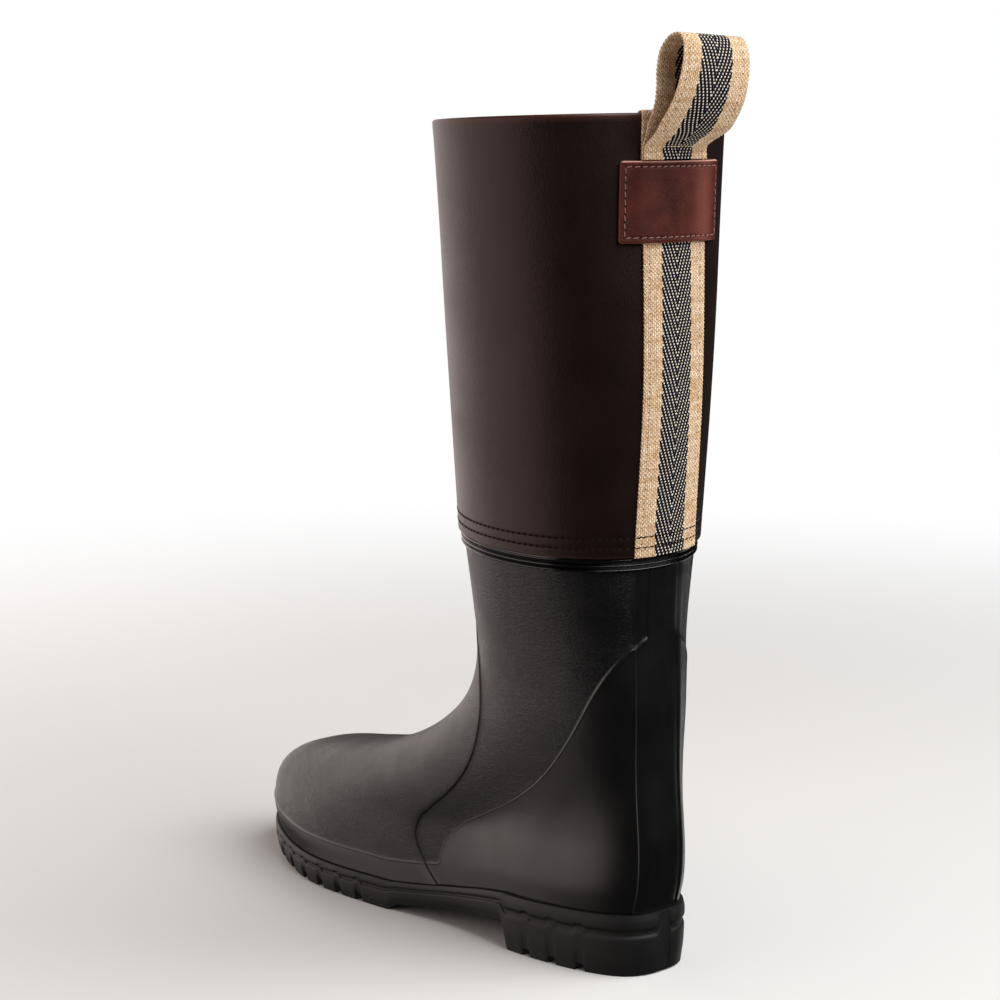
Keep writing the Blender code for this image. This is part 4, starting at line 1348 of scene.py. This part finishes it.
def patch_leather():
    """Pull-up leather of the patch: reddish brown, mottled, waxy, with a burnished orange edge, needle holes
    and seam line painted dark as shade, a painted highlight on the top edge, and a lighter rubbed stretch
    over the strap's edge that is partly painted highlight."""
    material, tree = finish("pull-up patch leather")
    cut = node(tree, "UVMap")
    edge, upper, pierced, rubbed_and_highlight = (
        node(tree, "Attribute", out="Fac", attribute_name=mark)
        for mark in ("edge", "top_edge_highlight", "pierced", "rubbed_and_highlight")
    )
    # Mottling about 11 mm wide, and specks and pores of 0.6 mm.
    mottle = node(tree, "TexNoise", {"Vector": cut, "Scale": 0.09, "Detail": 5.0, "Roughness": 0.6}, **FLAT)
    speck = node(tree, "TexNoise", {"Vector": cut, "Scale": 1.6, "Detail": 3.0}, **FLAT)
    pores = node(tree, "TexVoronoi", {"Vector": cut, "Scale": 1.7, "Randomness": 1.0},
                 voronoi_dimensions="2D")
    tone = node(tree, "Math", {0: speck, 1: 0.7, 2: mottle}, operation="MULTIPLY_ADD")
    tone = node(tree, "MapRange", {"Value": tone, "From Min": 0.6, "From Max": 1.15})
    shade = node(tree, "Mix", {"Factor": tone, "A": linear("#33110b"), "B": linear("#511d14")}, **COLOUR)
    rubbed_and_highlight = node(tree, "Math", {0: rubbed_and_highlight, 1: 0.7}, operation="MULTIPLY")
    # The rubbed stretch with painted highlight, the burnished edge, the painted highlight on the top edge,
    # and painted shade in the holes and seam line.
    marks = ((rubbed_and_highlight, "#7a4239"), (edge, "#6e3620"), (upper, "#d09c8e"), (pierced, "#0d0504"))
    for mark, colour in marks:
        shade = node(tree, "Mix", {"Factor": mark, "A": shade, "B": linear(colour)}, **COLOUR)
    height = node(tree, "Math", {0: pores, 1: 0.4, 2: speck}, operation="MULTIPLY_ADD")
    relief = node(tree, "Bump", {"Height": height, "Strength": 0.6, "Distance": 0.00015})
    rough = node(tree, "MapRange", {"Value": mottle, "From Min": 0.3, "From Max": 0.7,
                                    "To Min": 0.44, "To Max": 0.55})
    rough = node(tree, "Math", {0: pierced, 1: 0.5, 2: rough}, operation="MULTIPLY_ADD")
    surface(tree, Specular_IOR_Level=0.45, Specular_Tint=(1.0, 0.62, 0.55, 1.0),
            Base_Color=shade, Roughness=rough, Normal=relief)
    return material


def cotton_webbing():
    """Woven cotton webbing: beige twill selvedges and a navy stripe with cream points that step a
    quarter of their spacing at each pick, which makes a herringbone with its point down."""
    material, tree = finish("striped cotton webbing")
    cut = node(tree, "UVMap")
    split = node(tree, "SeparateXYZ", {0: cut}).node.outputs
    across, along = split["X"], split["Y"]
    beside = node(tree, "Math", {0: across, 1: NAVY_SHIFT}, operation="SUBTRACT")
    beside = node(tree, "Math", {0: beside}, operation="ABSOLUTE")
    picks = node(tree, "Math", {0: along, 1: 1 / POINT_ALONG}, operation="MULTIPLY")
    pick = node(tree, "Math", {0: picks}, operation="FLOOR")
    # Cream points of the stripe: how far a place is from the middle of its point.
    step = node(tree, "Math", {0: pick, 1: -0.25, 2: 0.5 - POINT_SHIFT}, operation="MULTIPLY_ADD")
    stepped = node(tree, "Math", {0: beside, 1: 1 / POINT_ACROSS, 2: step}, operation="MULTIPLY_ADD")
    reach = []
    for place, spacing, size in ((stepped, POINT_ACROSS, POINT_WIDE), (picks, POINT_ALONG, POINT_TALL)):
        place = node(tree, "Math", {0: place}, operation="FRACT")
        place = node(tree, "Math", {0: place, 1: 0.5}, operation="SUBTRACT")
        reach.append(node(tree, "Math", {0: place, 1: spacing / (size / 2)}, operation="MULTIPLY"))
    reach = node(tree, "CombineXYZ", {"X": reach[0], "Y": reach[1]})
    reach = node(tree, "VectorMath", {0: reach}, operation="LENGTH")
    cream = node(tree, "MapRange", {"Value": reach, "From Min": 1.18, "From Max": 0.78})
    # Slanting floats of the beige warp, each half its length above its neighbour.
    wander = node(tree, "TexNoise", {"Vector": cut, "Scale": 0.6, "Detail": 1.0}, **FLAT)
    wander = node(tree, "Math", {0: wander, 1: 0.5}, operation="MULTIPLY")
    ends = node(tree, "Math", {0: across, 1: 1 / GRAIN_ACROSS}, operation="MULTIPLY")
    end = node(tree, "Math", {0: ends}, operation="FLOOR")
    rise = node(tree, "Math", {0: end, 1: -0.5, 2: wander}, operation="MULTIPLY_ADD")
    rows = node(tree, "Math", {0: along, 1: 1 / GRAIN_ALONG, 2: rise}, operation="MULTIPLY_ADD")
    row = node(tree, "Math", {0: rows}, operation="FLOOR")
    in_row = node(tree, "Math", {0: rows, 1: row}, operation="SUBTRACT")
    slanted = node(tree, "Math", {0: in_row, 1: -GRAIN_SLANT, 2: ends}, operation="MULTIPLY_ADD")
    # Grooves between floats and dips at their ends, as a width and a depth; the colour is painted darker in
    # them as shade.
    sunk = []
    for place, width, depth in ((slanted, 0.28, 0.92), (rows, 0.24, 0.42)):
        place = node(tree, "Math", {0: place, 1: 0.5}, operation="PINGPONG")
        sunk.append(node(tree, "MapRange", {"Value": place, "From Min": width, "From Max": 0.0,
                                            "To Max": depth}, **SOFT))
    sunk = node(tree, "Math", {0: sunk[0], 1: sunk[1]}, operation="ADD")
    grain = node(tree, "Math", {0: 1.0, 1: sunk}, operation="SUBTRACT", use_clamp=True)
    cell = node(tree, "CombineXYZ", {"X": end, "Y": row})
    shine = node(tree, "TexWhiteNoise", {"Vector": cell}, **FLAT)
    # Yarn: slubs 1.1 mm wide and 5.5 mm long, and fuzz of 0.25 mm.
    slub_place = node(tree, "Mapping", {"Vector": cut, "Scale": (0.9, 0.18, 1.0)})
    slub = node(tree, "TexNoise", {"Vector": slub_place, "Scale": 1.0, "Detail": 4.0}, **FLAT)
    fuzz = node(tree, "TexNoise", {"Vector": cut, "Scale": 4.0, "Detail": 3.0}, **FLAT)
    # Ripples across the band, about 3 mm apart; besides their relief they lighten and darken the yarn's
    # colour as painted shading.
    ripple_place = node(tree, "Mapping", {"Vector": cut, "Scale": (0.06, 0.36, 1.0)})
    ripple = node(tree, "TexNoise", {"Vector": ripple_place, "Scale": 1.0, "Detail": 1.0}, **FLAT)
    yarn = node(tree, "Math", {0: shine, 1: 0.5, 2: slub}, operation="MULTIPLY_ADD")
    # Painted shading of the ripples.
    yarn = node(tree, "Math", {0: ripple, 1: 1.2, 2: yarn}, operation="MULTIPLY_ADD")
    yarn = node(tree, "MapRange", {"Value": yarn, "From Min": 0.95, "From Max": 1.7})
    pale = node(tree, "Mix", {"Factor": yarn, "A": linear("#dab68b"), "B": linear("#fde4c3")}, **COLOUR)
    # Painted shade in the grooves between floats.
    beige = node(tree, "Mix", {"Factor": grain, "A": linear("#845229"), "B": pale}, **COLOUR)
    bright = node(tree, "Mix", {"Factor": slub, "A": linear("#cfc0a2"), "B": linear("#fff8e6")}, **COLOUR)
    stripe = node(tree, "Mix", {"Factor": cream, "A": linear("#05051a"), "B": bright}, **COLOUR)
    # The stripe's edge steps in and out with the herringbone.
    tooth = node(tree, "Math", {0: picks, 1: 0.25}, operation="MULTIPLY")
    tooth = node(tree, "Math", {0: tooth}, operation="FRACT")
    limit = node(tree, "Math", {0: tooth, 1: STRIPE_TOOTH, 2: NAVY_HALF - STRIPE_TOOTH / 2},
                 operation="MULTIPLY_ADD")
    inside = node(tree, "Math", {0: beside, 1: limit}, operation="LESS_THAN")
    shade = node(tree, "Mix", {"Factor": inside, "A": beige, "B": stripe}, **COLOUR)
    # Needle holes of the edge seams, painted darker as shade.
    seam = node(tree, "Math", {0: beside, 1: WEBBING_WIDTH / 2 - STRAP_SEAM_INSET}, operation="SUBTRACT")
    pitch = node(tree, "Math", {0: along, 1: STRAP_SEAM_PITCH / 2}, operation="PINGPONG")
    away = node(tree, "CombineXYZ", {"X": seam, "Y": pitch})
    away = node(tree, "VectorMath", {0: away}, operation="LENGTH")
    hole = node(tree, "MapRange", {"Value": away, "From Min": 0.62, "From Max": 0.25, "To Max": 0.7})
    shade = node(tree, "Mix", {"Factor": hole, "A": shade, "B": linear("#4a3018")}, **COLOUR)
    woven = node(tree, "Mix", {"Factor": inside, "A": grain, "B": cream}, data_type="FLOAT")
    height = node(tree, "Math", {0: fuzz, 1: 0.5, 2: woven}, operation="MULTIPLY_ADD")
    height = node(tree, "Math", {0: ripple, 1: 2.0, 2: height}, operation="MULTIPLY_ADD")
    relief = node(tree, "Bump", {"Height": height, "Strength": 0.7, "Distance": 0.00028})
    surface(tree, Roughness=0.9, Specular_IOR_Level=0.25, Base_Color=shade, Normal=relief)
    return material


def waxed_thread(name, dark, light):
    """Twisted sewing thread, a little waxy, with paler strands."""
    material, tree = finish(name)
    place = node(tree, "TexCoord", out="Object")
    # Strands about 0.25 mm thick.
    strands = node(tree, "TexNoise", {"Vector": place, "Scale": 3600.0, "Detail": 2.0})
    strands = node(tree, "MapRange", {"Value": strands, "From Min": 0.42, "From Max": 0.72})
    shade = node(tree, "Mix", {"Factor": strands, "A": linear(dark), "B": linear(light)}, **COLOUR)
    relief = node(tree, "Bump", {"Height": strands, "Strength": 0.4, "Distance": 0.0001})
    surface(tree, Roughness=0.85, Specular_IOR_Level=0.12, Base_Color=shade, Normal=relief)
    return material


def felted_cloth():
    """Grey-brown felt of the insole, fibrous and dull."""
    material, tree = finish("grey-brown felt")
    place = node(tree, "TexCoord", out="Object")
    # Fibres about 0.5 mm, matted in tufts of 6 mm.
    fibres = node(tree, "TexNoise", {"Vector": place, "Scale": 2000.0, "Detail": 4.0, "Distortion": 1.5})
    tufts = node(tree, "TexNoise", {"Vector": place, "Scale": 160.0, "Detail": 3.0})
    tone = node(tree, "Math", {0: fibres, 1: tufts}, operation="MULTIPLY")
    tone = node(tree, "MapRange", {"Value": tone, "From Min": 0.15, "From Max": 0.4})
    shade = node(tree, "Mix", {"Factor": tone, "A": linear("#3d372f"), "B": linear("#6f675b")}, **COLOUR)
    relief = node(tree, "Bump", {"Height": fibres, "Strength": 0.6, "Distance": 0.0005})
    surface(tree, Roughness=0.97, Sheen_Weight=0.3, Base_Color=shade, Normal=relief)
    return material


# The studio: places and sizes are metres in the frame.

FLOOR_SIZE = 3.2
FLOOR_FADE_START = 0.30
FLOOR_FADE_END = 1.25
AreaRow = namedtuple("AreaRow", "name place aim wide tall watts colour")
LIGHTS = [
    AreaRow("panel_left", (1.013, -0.576, 0.30), (0.0, 0.07, 0.26), 2.0, 1.6, 11.8, "#fff0ec"),
    AreaRow("panel_behind", (-0.055, -1.23, 0.35), (0.0, 0.07, 0.26), 1.2, 1.4, 8.0, "#fff0ec"),
    AreaRow("panel_low", (-1.18, -0.13, -0.42), (0.0, 0.07, 0.16), 0.3, 0.55, 0.8, "#ffffff"),
    AreaRow("panel_above", (-0.36, 0.88, 1.35), (0.0, 0.07, 0.28), 1.6, 1.6, 37.5, "#ffffff"),
]
WORLD_FILL = 0.03
WHITE = (1.0, 1.0, 1.0, 1.0)


def white_world():
    """White behind the boot, and a dim fill on it."""
    world = bpy.data.worlds.new("white_studio")
    bpy.context.scene.world = world
    world.use_nodes = True
    tree = world.node_tree
    seen = node(tree, "LightPath", out="Is Camera Ray")
    strength = node(tree, "MapRange", {"Value": seen, "To Min": WORLD_FILL, "To Max": 1.0})
    background = tree.nodes["Background"]
    feed(tree, background.inputs["Color"], WHITE)
    feed(tree, background.inputs["Strength"], strength)


def pale_floor():
    """A pale matt floor that fades to the white behind it."""
    bpy.ops.object.select_all(action="DESELECT")
    bpy.ops.mesh.primitive_circle_add(vertices=96, radius=FLOOR_SIZE / 2, fill_type="NGON")
    floor = bpy.context.active_object
    floor.name = "floor"
    material, tree = finish("pale matt floor")
    surface(tree, Roughness=0.7, Base_Color=linear("#e9e8e6"))
    place = node(tree, "TexCoord", out="Object")
    reach = node(tree, "VectorMath", {0: place}, operation="LENGTH")
    fade = node(tree, "MapRange", {"Value": reach, "From Min": FLOOR_FADE_START,
                                   "From Max": FLOOR_FADE_END}, **SOFT)
    seen = node(tree, "LightPath", out="Is Camera Ray")
    fade = node(tree, "Math", {0: fade, 1: seen}, operation="MULTIPLY")
    white = node(tree, "Emission", {"Color": WHITE, "Strength": 1.0})
    matt = tree.nodes["Principled BSDF"].outputs[0]
    mixed = node(tree, "MixShader", {0: fade, 1: matt, 2: white})
    tree.links.new(mixed, tree.nodes["Material Output"].inputs["Surface"])
    floor.data.materials.append(material)
    floor.visible_glossy = False
    floor.visible_shadow = False


def studio_lights():
    """Four soft panels: wide on the outer side, tall beyond the toe, small and low on the inner side,
    and large above the heel."""
    for row in LIGHTS:
        lamp = bpy.data.lights.new(row.name, "AREA")
        lamp.shape = "RECTANGLE"
        lamp.size = row.wide
        lamp.size_y = row.tall
        lamp.energy = row.watts
        lamp.color = linear(row.colour)[:3]
        light = bpy.data.objects.new(row.name, lamp)
        light.location = row.place
        light.rotation_euler = (Vector(row.aim) - Vector(row.place)).to_track_quat("-Z", "Y").to_euler()
        light.visible_camera = False
        bpy.context.scene.collection.objects.link(light)


def photo_camera():
    """The camera stands behind the boot on its outer side, level with the rim."""
    turn = math.radians(VIEW_TURN)
    stand = np.array([math.sin(turn) * VIEW_DISTANCE, math.cos(turn) * VIEW_DISTANCE, VIEW_HEIGHT])
    place = Vector((stand + TO_FRAME) * MM)
    aim = Vector((np.array(VIEW_AIM) + TO_FRAME) * MM)
    lens = bpy.data.cameras.new("camera")
    lens.sensor_width = SENSOR_WIDTH
    lens.lens = VIEW_LENS
    camera = bpy.data.objects.new("camera", lens)
    camera.location = place
    camera.rotation_euler = (aim - place).to_track_quat("-Z", "Y").to_euler()
    bpy.context.scene.collection.objects.link(camera)
    bpy.context.scene.camera = camera
    bpy.context.scene.view_settings.view_transform = "Standard"


photo_camera()
white_world()
pale_floor()
studio_lights()
outsole()
rubber_foot()
insole()
leather_shaft()
webbing = cotton_webbing()
back_strap(webbing)
pull_loop(webbing)
leather_patch()
hem_seams()
patch_stitches()
strap_seams()
